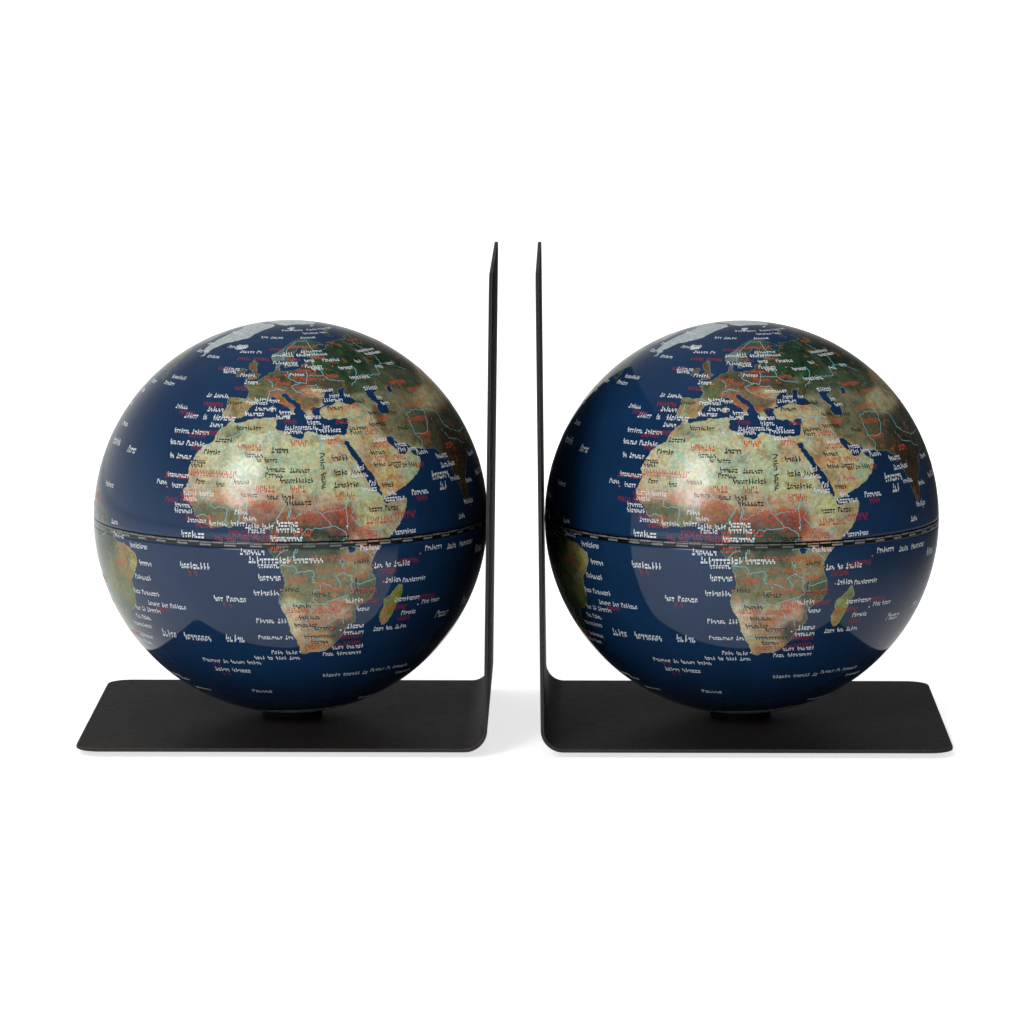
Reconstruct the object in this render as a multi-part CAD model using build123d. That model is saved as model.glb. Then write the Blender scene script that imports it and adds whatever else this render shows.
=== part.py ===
from build123d import *
from math import cos, radians, sin, sqrt, tan
import os

# A pair of desk bookends. Each one is a bent sheet-steel bracket with a globe that turns on a post
# screwed to the bracket's base.
# Millimetres. +Z is up, +X runs along the pair from the left bookend to the right one, and +Y points
# away from the front. The origin is on the shelf, at the middle of the pair.

# --- driving dimensions ---------------------------------------------------------------------------
# the pair
UPRIGHT_GAP = 17.2            # between the two uprights' outer faces, measured at the base

# bracket
SHEET_THICKNESS = 1.2
BASE_DEPTH = 128.1            # front to back
UPRIGHT_HEIGHT = 153.2        # from the underside of the base to the top edge
UPRIGHT_LEAN = 0.70           # degrees; the upright leans away from its own globe
BEND_INNER_RADIUS = 6.1
CORNER_RADIUS = 8.0           # plan radius of the base's and the upright's free corners
EDGE_SOFTENING = 0.3          # fillet along the sheet's free edges
BASE_PAST_GLOBE = 1.4         # base end beyond the globe's widest point

# globe shell
GLOBE_DIAMETER = 130.0
SHELL_THICKNESS = 2.0
GLOBE_TO_UPRIGHT = 0.4
POLE_BOSS_HEIGHT = 4.2        # shell's thickness at the flat seat around the south pole
POLE_BOSS_MARGIN = 1.5        # boss beyond the ring nut

# equator joint
TAPE_WIDTH = 2.2
TAPE_THICKNESS = 0.15
TAPE_CLEARANCE = 0.01
JOINT_RING_WIDTH = 9.0
JOINT_RING_THICKNESS = 1.4
JOINT_RING_CLEARANCE = 0.15   # glue gap between the ring and the shell

# pivot screw and lock washer, below the base
SCREW_DIAMETER = 4.0
SCREW_HEAD_DIAMETER = 8.0
SCREW_HEAD_HEIGHT = 1.3
SCREW_ENGAGEMENT = 8.5        # thread length inside the post
SCREW_SOCKET_WIDTH = 2.5      # hexagon socket, across flats
SCREW_SOCKET_DEPTH = 0.8
SCREW_HOLE_CLEARANCE = 0.15   # radial, through the base and the washer
LOCK_WASHER_WIDTH = 1.5       # radial
LOCK_WASHER_THICKNESS = 0.4

# feet
FOOT_DIAMETER = 12.0
FOOT_TAPER = 0.4              # the foot's lower face is this much smaller in radius
FOOT_INSET = 20.5             # foot centre from the base's edges
SCREW_HEAD_TO_SHELF = 0.3

# post, bush and what holds them together
POST_DIAMETER = 8.0
THREAD_CLEARANCE = 0.05       # radial, between drawn threads
RUNNING_CLEARANCE = 0.05      # radial, between the post and the bush that turns on it
AXIAL_PLAY = 0.05
THRUST_DISC_THICKNESS = 0.8
THRUST_DISC_MARGIN = 0.1      # thrust disc beyond the bush's flange
BUSH_WALL = 2.95
BUSH_FLANGE_WIDTH = 2.9
BUSH_ABOVE_NUT = 2.5
SEAT_MARGIN = 0.1             # flat seat on the shell beyond the bush's flange
RING_NUT_WIDTH = 5.0
RING_NUT_HEIGHT = 3.5
RING_NUT_SLOTS = 4
RING_NUT_SLOT_WIDTH = 2.0
RING_NUT_SLOT_DEPTH = 1.6
SLIP_WASHER_WIDTH = 4.0
SLIP_WASHER_THICKNESS = 0.8
DISC_SPRING_WIDTH = 3.4
DISC_SPRING_THICKNESS = 0.4
DISC_SPRING_RISE = 0.5
SPRING_CLEARANCE = 0.02
LOCK_NUT_WALL = 2.5           # from the post's surface to the middle of a flat
LOCK_NUT_HEIGHT = 4.0
POST_PAST_NUT = 1.0
SMALL_CHAMFER = 0.4

# --- sizes that follow from them ------------------------------------------------------------------
FOOT_HEIGHT = SCREW_HEAD_TO_SHELF + SCREW_HEAD_HEIGHT + LOCK_WASHER_THICKNESS
BASE_TOP = FOOT_HEIGHT + SHEET_THICKNESS
BEND_OUTER_RADIUS = BEND_INNER_RADIUS + SHEET_THICKNESS

GLOBE_RADIUS = GLOBE_DIAMETER / 2
SHELL_INNER_RADIUS = GLOBE_RADIUS - SHELL_THICKNESS
GLOBE_BOTTOM = BASE_TOP + THRUST_DISC_THICKNESS + AXIAL_PLAY
GLOBE_CENTRE_Z = GLOBE_BOTTOM + GLOBE_RADIUS

# the upright's inner plane starts one sheet in from the outer face and leans away with height
INNER_FACE_AT_GLOBE = (
    UPRIGHT_GAP / 2
    + SHEET_THICKNESS / cos(radians(UPRIGHT_LEAN))
    - (GLOBE_CENTRE_Z - FOOT_HEIGHT) * tan(radians(UPRIGHT_LEAN))
)
GLOBE_CENTRE_X = INNER_FACE_AT_GLOBE + (GLOBE_RADIUS + GLOBE_TO_UPRIGHT) / cos(radians(UPRIGHT_LEAN))
BASE_END_X = GLOBE_CENTRE_X + GLOBE_RADIUS + BASE_PAST_GLOBE

POST_RADIUS = POST_DIAMETER / 2
SCREW_RADIUS = SCREW_DIAMETER / 2
SCREW_HOLE_RADIUS = SCREW_RADIUS + SCREW_HOLE_CLEARANCE
BUSH_BORE_RADIUS = POST_RADIUS + RUNNING_CLEARANCE
BUSH_BODY_RADIUS = BUSH_BORE_RADIUS + BUSH_WALL
BUSH_FLANGE_RADIUS = BUSH_BODY_RADIUS + BUSH_FLANGE_WIDTH
SEAT_RADIUS = BUSH_FLANGE_RADIUS + SEAT_MARGIN
POLE_HOLE_RADIUS = BUSH_BODY_RADIUS + THREAD_CLEARANCE
RING_NUT_RADIUS = POLE_HOLE_RADIUS + RING_NUT_WIDTH
POLE_BOSS_RADIUS = RING_NUT_RADIUS + POLE_BOSS_MARGIN
THRUST_DISC_RADIUS = BUSH_FLANGE_RADIUS + THRUST_DISC_MARGIN

# heights of the pivot stack, from the base up
SEAT_Z = GLOBE_CENTRE_Z - sqrt(GLOBE_RADIUS**2 - SEAT_RADIUS**2)
BOSS_TOP_Z = SEAT_Z + POLE_BOSS_HEIGHT
RING_NUT_TOP_Z = BOSS_TOP_Z + RING_NUT_HEIGHT
BUSH_TOP_Z = RING_NUT_TOP_Z + BUSH_ABOVE_NUT
SLIP_WASHER_Z = BUSH_TOP_Z + AXIAL_PLAY
DISC_SPRING_Z = SLIP_WASHER_Z + SLIP_WASHER_THICKNESS + SPRING_CLEARANCE
LOCK_NUT_Z = DISC_SPRING_Z + DISC_SPRING_THICKNESS + DISC_SPRING_RISE + SPRING_CLEARANCE
POST_TOP_Z = LOCK_NUT_Z + LOCK_NUT_HEIGHT + POST_PAST_NUT
SCREW_TIP_Z = BASE_TOP + SCREW_ENGAGEMENT


# --- small helpers --------------------------------------------------------------------------------
def at_globe(z):
    """A place on the globe's axis at height z."""
    return Pos(GLOBE_CENTRE_X, 0, z)


def ring(outer_radius, inner_radius, height):
    """A flat ring that stands on Z = 0."""
    face = Circle(outer_radius) - Circle(inner_radius)
    return extrude(Plane.XY * face, height)


def turned(*points):
    """A solid of revolution about Z from (radius, height) corners."""
    return revolve(Plane.XZ * make_face(Polyline(*points, close=True)), Axis.Z)


def ball_layer(outer_radius, inner_radius):
    """A hollow ball centred on the origin."""
    return Sphere(outer_radius) - Sphere(inner_radius)


# --- bracket --------------------------------------------------------------------------------------
def bracket():
    """One sheet, bent up at the inner end of the base."""
    lean = radians(UPRIGHT_LEAN)
    outer_x = UPRIGHT_GAP / 2
    # the outer line: along the base's underside, round the bend and up the outer face
    corner = (outer_x, 0)
    top = (outer_x - UPRIGHT_HEIGHT * tan(lean), UPRIGHT_HEIGHT)
    outer_line = FilletPolyline((BASE_END_X, 0), corner, top, radius=BEND_OUTER_RADIUS)
    # the inner line: the same, one sheet thickness further in
    base_up = SHEET_THICKNESS
    inner_corner = (outer_x + SHEET_THICKNESS / cos(lean) - base_up * tan(lean), base_up)
    inner_top = (top[0] + SHEET_THICKNESS * cos(lean), top[1] + SHEET_THICKNESS * sin(lean))
    inner_line = FilletPolyline((BASE_END_X, base_up), inner_corner, inner_top, radius=BEND_INNER_RADIUS)
    ends = [Line(outer_line @ 0, inner_line @ 0), Line(outer_line @ 1, inner_line @ 1)]
    profile = make_face(Curve() + [outer_line, inner_line] + ends)
    sheet = extrude(Plane.XZ * profile, BASE_DEPTH / 2, both=True)

    # round the four free corners, then soften both outlines of the sheet
    short_edges = sheet.edges().filter_by(lambda e: abs(e.length - SHEET_THICKNESS) < 0.01)
    sheet = fillet(short_edges, CORNER_RADIUS)
    front = sheet.faces().sort_by(Axis.Y)[0]
    outline = front.edges().filter_by(lambda e: e.length > 2 * SHEET_THICKNESS)
    sheet = fillet(outline, EDGE_SOFTENING)
    sheet = Pos(0, 0, FOOT_HEIGHT) * sheet
    hole = at_globe(BASE_TOP) * Cylinder(SCREW_HOLE_RADIUS, 4 * SHEET_THICKNESS)
    return sheet - hole


def foot(x, y):
    """Tapered rubber foot, stuck to the underside of the base."""
    radius = FOOT_DIAMETER / 2
    body = turned((0, 0), (radius - FOOT_TAPER, 0), (radius, FOOT_HEIGHT), (0, FOOT_HEIGHT))
    return Pos(x, y, 0) * body


def feet():
    """The four feet by name, set in from the base's edges by the same amount."""
    inner_x = UPRIGHT_GAP / 2 + FOOT_INSET
    outer_x = BASE_END_X - FOOT_INSET
    side_y = BASE_DEPTH / 2 - FOOT_INSET
    places = {}
    for depth_name, y in (("front", -side_y), ("back", side_y)):
        for end_name, x in (("inner", inner_x), ("outer", outer_x)):
            places[f"foot_{depth_name}_{end_name}"] = foot(x, y)
    return places


# --- pivot ----------------------------------------------------------------------------------------
def pivot_screw():
    """Low-head machine screw, put in from below."""
    head_top = FOOT_HEIGHT - LOCK_WASHER_THICKNESS
    head_bottom = head_top - SCREW_HEAD_HEIGHT
    head = extrude(Plane.XY * Circle(SCREW_HEAD_DIAMETER / 2), SCREW_HEAD_HEIGHT)
    head = chamfer(head.edges().group_by(Axis.Z)[0], SMALL_CHAMFER / 2)
    socket_radius = SCREW_SOCKET_WIDTH / sqrt(3)
    socket = extrude(Plane.XY * RegularPolygon(socket_radius, 6), SCREW_SOCKET_DEPTH)
    shank = Pos(0, 0, SCREW_HEAD_HEIGHT) * extrude(Plane.XY * Circle(SCREW_RADIUS), SCREW_TIP_Z - head_top)
    shank = chamfer(shank.edges().group_by(Axis.Z)[-1], SMALL_CHAMFER)
    return at_globe(head_bottom) * (head - socket + shank)


def lock_washer():
    """Plain ring between the screw's head and the base."""
    washer = ring(SCREW_HOLE_RADIUS + LOCK_WASHER_WIDTH, SCREW_HOLE_RADIUS, LOCK_WASHER_THICKNESS)
    return at_globe(FOOT_HEIGHT - LOCK_WASHER_THICKNESS) * washer


def pivot_post():
    """The post that the globe turns on, tapped from below for the screw."""
    post = extrude(Plane.XY * Circle(POST_RADIUS), POST_TOP_Z - BASE_TOP)
    post = chamfer(post.edges().group_by(Axis.Z)[-1], SMALL_CHAMFER)
    tapped_radius = SCREW_RADIUS + THREAD_CLEARANCE
    tapped = extrude(Plane.XY * Circle(tapped_radius), SCREW_ENGAGEMENT + POST_PAST_NUT)
    return at_globe(BASE_TOP) * (post - tapped)


def thrust_disc():
    """Slippery disc that the globe's bush turns on."""
    disc = ring(THRUST_DISC_RADIUS, POST_RADIUS + THREAD_CLEARANCE, THRUST_DISC_THICKNESS)
    return at_globe(BASE_TOP) * disc


def pole_bush():
    """Flanged bush through the south pole: the shell rests on its flange."""
    flange_height = SEAT_Z - GLOBE_BOTTOM
    height = BUSH_TOP_Z - GLOBE_BOTTOM
    bush = turned(
        (BUSH_BORE_RADIUS, 0),
        (BUSH_FLANGE_RADIUS, 0),
        (BUSH_FLANGE_RADIUS, flange_height),
        (BUSH_BODY_RADIUS, flange_height),
        (BUSH_BODY_RADIUS, height - SMALL_CHAMFER),
        (BUSH_BODY_RADIUS - SMALL_CHAMFER, height),
        (BUSH_BORE_RADIUS, height),
    )
    return at_globe(GLOBE_BOTTOM) * bush


def bush_nut():
    """Slotted ring nut that clamps the shell to the bush's flange."""
    nut = ring(RING_NUT_RADIUS, POLE_HOLE_RADIUS, RING_NUT_HEIGHT)
    slot = Pos(RING_NUT_RADIUS, 0, RING_NUT_HEIGHT / 2) * Box(
        2 * RING_NUT_SLOT_DEPTH, RING_NUT_SLOT_WIDTH, 2 * RING_NUT_HEIGHT
    )
    slots = [Rot(0, 0, i * 360 / RING_NUT_SLOTS) * slot for i in range(RING_NUT_SLOTS)]
    return at_globe(BOSS_TOP_Z) * (nut - slots)


def slip_washer():
    """Washer that stays with the post while the bush turns under it."""
    bore = POST_RADIUS + THREAD_CLEARANCE
    washer = ring(bore + SLIP_WASHER_WIDTH, bore, SLIP_WASHER_THICKNESS)
    return at_globe(SLIP_WASHER_Z) * washer


def disc_spring():
    """Shallow cone of spring steel, wide end down."""
    inner = POST_RADIUS + THREAD_CLEARANCE
    outer = inner + DISC_SPRING_WIDTH
    cone = turned(
        (outer, 0),
        (outer, DISC_SPRING_THICKNESS),
        (inner, DISC_SPRING_RISE + DISC_SPRING_THICKNESS),
        (inner, DISC_SPRING_RISE),
    )
    return at_globe(DISC_SPRING_Z) * cone


def lock_nut():
    """Thin hexagon nut on the post's threaded end."""
    corner_radius = (POST_RADIUS + LOCK_NUT_WALL) * 2 / sqrt(3)
    body = extrude(Plane.XY * RegularPolygon(corner_radius, 6), LOCK_NUT_HEIGHT)
    bore = extrude(Plane.XY * Circle(POST_RADIUS + THREAD_CLEARANCE), LOCK_NUT_HEIGHT)
    return at_globe(LOCK_NUT_Z) * (body - bore)


# --- globe ----------------------------------------------------------------------------------------
def plain_hemisphere():
    """Upper half of the shell on the origin, with the tape's recess along its rim."""
    shell = ball_layer(GLOBE_RADIUS, SHELL_INNER_RADIUS)
    upper_half = Pos(0, 0, GLOBE_RADIUS) * Box(GLOBE_DIAMETER, GLOBE_DIAMETER, GLOBE_DIAMETER)
    half = shell & upper_half
    recess_radius = GLOBE_RADIUS - TAPE_THICKNESS - TAPE_CLEARANCE
    recess = ring(GLOBE_RADIUS + TAPE_THICKNESS, recess_radius, TAPE_WIDTH / 2 + TAPE_CLEARANCE)
    return half - recess


def north_hemisphere():
    return at_globe(GLOBE_CENTRE_Z) * plain_hemisphere()


def south_hemisphere():
    """Lower half, with a flat seat and a boss around the hole for the bush."""
    half = Rot(180, 0, 0) * plain_hemisphere()
    boss_depth = GLOBE_CENTRE_Z - BOSS_TOP_Z
    boss = Pos(0, 0, -GLOBE_RADIUS) * extrude(
        Plane.XY * Circle(POLE_BOSS_RADIUS), GLOBE_RADIUS - boss_depth
    )
    half = half + (boss & Sphere(GLOBE_RADIUS))
    seat_depth = GLOBE_CENTRE_Z - SEAT_Z
    below_seat = Pos(0, 0, -seat_depth - GLOBE_RADIUS / 2) * Box(GLOBE_RADIUS, GLOBE_RADIUS, GLOBE_RADIUS)
    hole = Pos(0, 0, -GLOBE_RADIUS) * Cylinder(POLE_HOLE_RADIUS, GLOBE_RADIUS)
    return at_globe(GLOBE_CENTRE_Z) * (half - below_seat - hole)


def joint_ring():
    """Ring glued inside both rims, curved to the shell's inner face."""
    outer = SHELL_INNER_RADIUS - JOINT_RING_CLEARANCE
    layer = ball_layer(outer, outer - JOINT_RING_THICKNESS)
    band = Box(GLOBE_DIAMETER, GLOBE_DIAMETER, JOINT_RING_WIDTH)
    return at_globe(GLOBE_CENTRE_Z) * (layer & band)


def equator_tape():
    """Printed tape in the recess over the joint, flush with the globe."""
    layer = ball_layer(GLOBE_RADIUS, GLOBE_RADIUS - TAPE_THICKNESS)
    band = Box(GLOBE_DIAMETER * 2, GLOBE_DIAMETER * 2, TAPE_WIDTH)
    return at_globe(GLOBE_CENTRE_Z) * (layer & band)


# --- the pair -------------------------------------------------------------------------------------
def bookend():
    """Every piece of the right-hand bookend, by name."""
    pieces = {"bracket": bracket()}
    pieces.update(feet())
    pieces["pivot_screw"] = pivot_screw()
    pieces["lock_washer"] = lock_washer()
    pieces["thrust_disc"] = thrust_disc()
    pieces["pivot_post"] = pivot_post()
    pieces["pole_bush"] = pole_bush()
    pieces["bush_nut"] = bush_nut()
    pieces["slip_washer"] = slip_washer()
    pieces["disc_spring"] = disc_spring()
    pieces["lock_nut"] = lock_nut()
    pieces["south_hemisphere"] = south_hemisphere()
    pieces["north_hemisphere"] = north_hemisphere()
    pieces["joint_ring"] = joint_ring()
    pieces["equator_tape"] = equator_tape()
    return pieces


os.makedirs("parts", exist_ok=True)
for name, piece in bookend().items():
    export_step(piece, f"parts/right_{name}.step")
    # the left bookend is the same product seen in the mirror of the YZ plane
    export_step(mirror(piece, about=Plane.YZ), f"parts/left_{name}.step")
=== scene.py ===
import math
import bpy
import numpy as np
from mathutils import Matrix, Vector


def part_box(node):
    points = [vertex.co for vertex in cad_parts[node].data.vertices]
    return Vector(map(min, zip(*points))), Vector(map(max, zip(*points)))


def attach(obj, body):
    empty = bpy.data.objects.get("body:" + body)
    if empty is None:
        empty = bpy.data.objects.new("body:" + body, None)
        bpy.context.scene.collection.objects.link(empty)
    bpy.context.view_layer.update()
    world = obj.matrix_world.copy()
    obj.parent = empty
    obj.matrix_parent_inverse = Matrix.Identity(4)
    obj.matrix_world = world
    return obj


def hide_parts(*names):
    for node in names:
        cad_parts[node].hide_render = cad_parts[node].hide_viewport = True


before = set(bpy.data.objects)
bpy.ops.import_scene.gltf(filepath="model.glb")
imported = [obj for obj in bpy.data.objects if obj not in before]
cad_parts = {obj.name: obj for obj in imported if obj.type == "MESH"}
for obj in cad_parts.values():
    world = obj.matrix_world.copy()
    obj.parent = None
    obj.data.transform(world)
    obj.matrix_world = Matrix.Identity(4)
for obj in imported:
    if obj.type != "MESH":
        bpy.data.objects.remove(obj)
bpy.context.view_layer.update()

# A pair of globe bookends: printed globes on black powder-coated brackets.
# Metres in the scene; the printing on a globe is laid out in millimetres and in degrees.
MM = 0.001
SIDES = ("left", "right")
HEADING = {"left": 12.4, "right": 16.9}   # longitude that faces straight to the front, degrees

# The printed shell, mm
PRINT_DEPTH = 0.05        # its surface lies this far inside the ball's nominal radius
COLUMNS = 480             # steps round the globe
ROWS = 120                # steps from equator to pole
INNER_ROWS = 10
SHELL_THICKNESS = 2.0
TAPE_HALF_WIDTH = 1.1
TAPE_RECESS = 0.16
TAPE_GAP = 0.01           # between the tape and the edges of its recess
SEAT_RADIUS = 10.0        # flat seat round the south pole's hole
POLE_HOLE_RADIUS = 7.05
POLE_BOSS_RADIUS = 13.55
POLE_BOSS_HEIGHT = 4.2

# The map
MAP_RADIUS = 65.0         # mm
ICE_LATITUDE = 85.0       # both poles are iced over from here on, degrees
SHORE_REACH = 5.0         # shore distances are worked out this far from a shore, mm
SHORE_STEP = 2.0          # chords of a shore are at most this long, degrees
TINT_CUT = 60             # a tint's bell curve stops falling at this exponent

# Ink laid on the map, mm
INK_BELOW = 0.02          # its top lies this far inside the ball's nominal radius
INK_SINK = 0.02           # and its foot this far below the printed surface
BORDER_WIDTH = 0.22
BORDER_DROP = 0.008       # names are printed over the borders, which lie this much lower
BORDER_STEP = 0.9         # degrees
BORDER_WANDER = 0.2       # degrees
BORDER_SEED = 5
TOWN_RADIUS = 0.3
NAME_SEED = 12
NAME_SCALE = 1.07         # all names together
UPRIGHT_TYPE = (0.42, 0.0, 1.0)   # a mark's width and slant, in heights, and a word gap, in marks
ITALIC_TYPE = (0.32, 0.22, 2.2)
MARK_GAP = 0.12           # in heights
BOLDER = 0.05             # black marks spread this much to each side, in marks
SCALE_CELLS = 96          # cells of the equator's scale
BARS_PER_CELL = 5


def numbers(text, width):
    """Rows of numbers from plain text."""
    return np.array(text.split(), float).reshape(-1, width)


def outlines(text):
    """Lines parted by a slash, each as an array of (longitude, latitude)."""
    return [numbers(part, 2) for part in text.split("/")]


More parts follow.
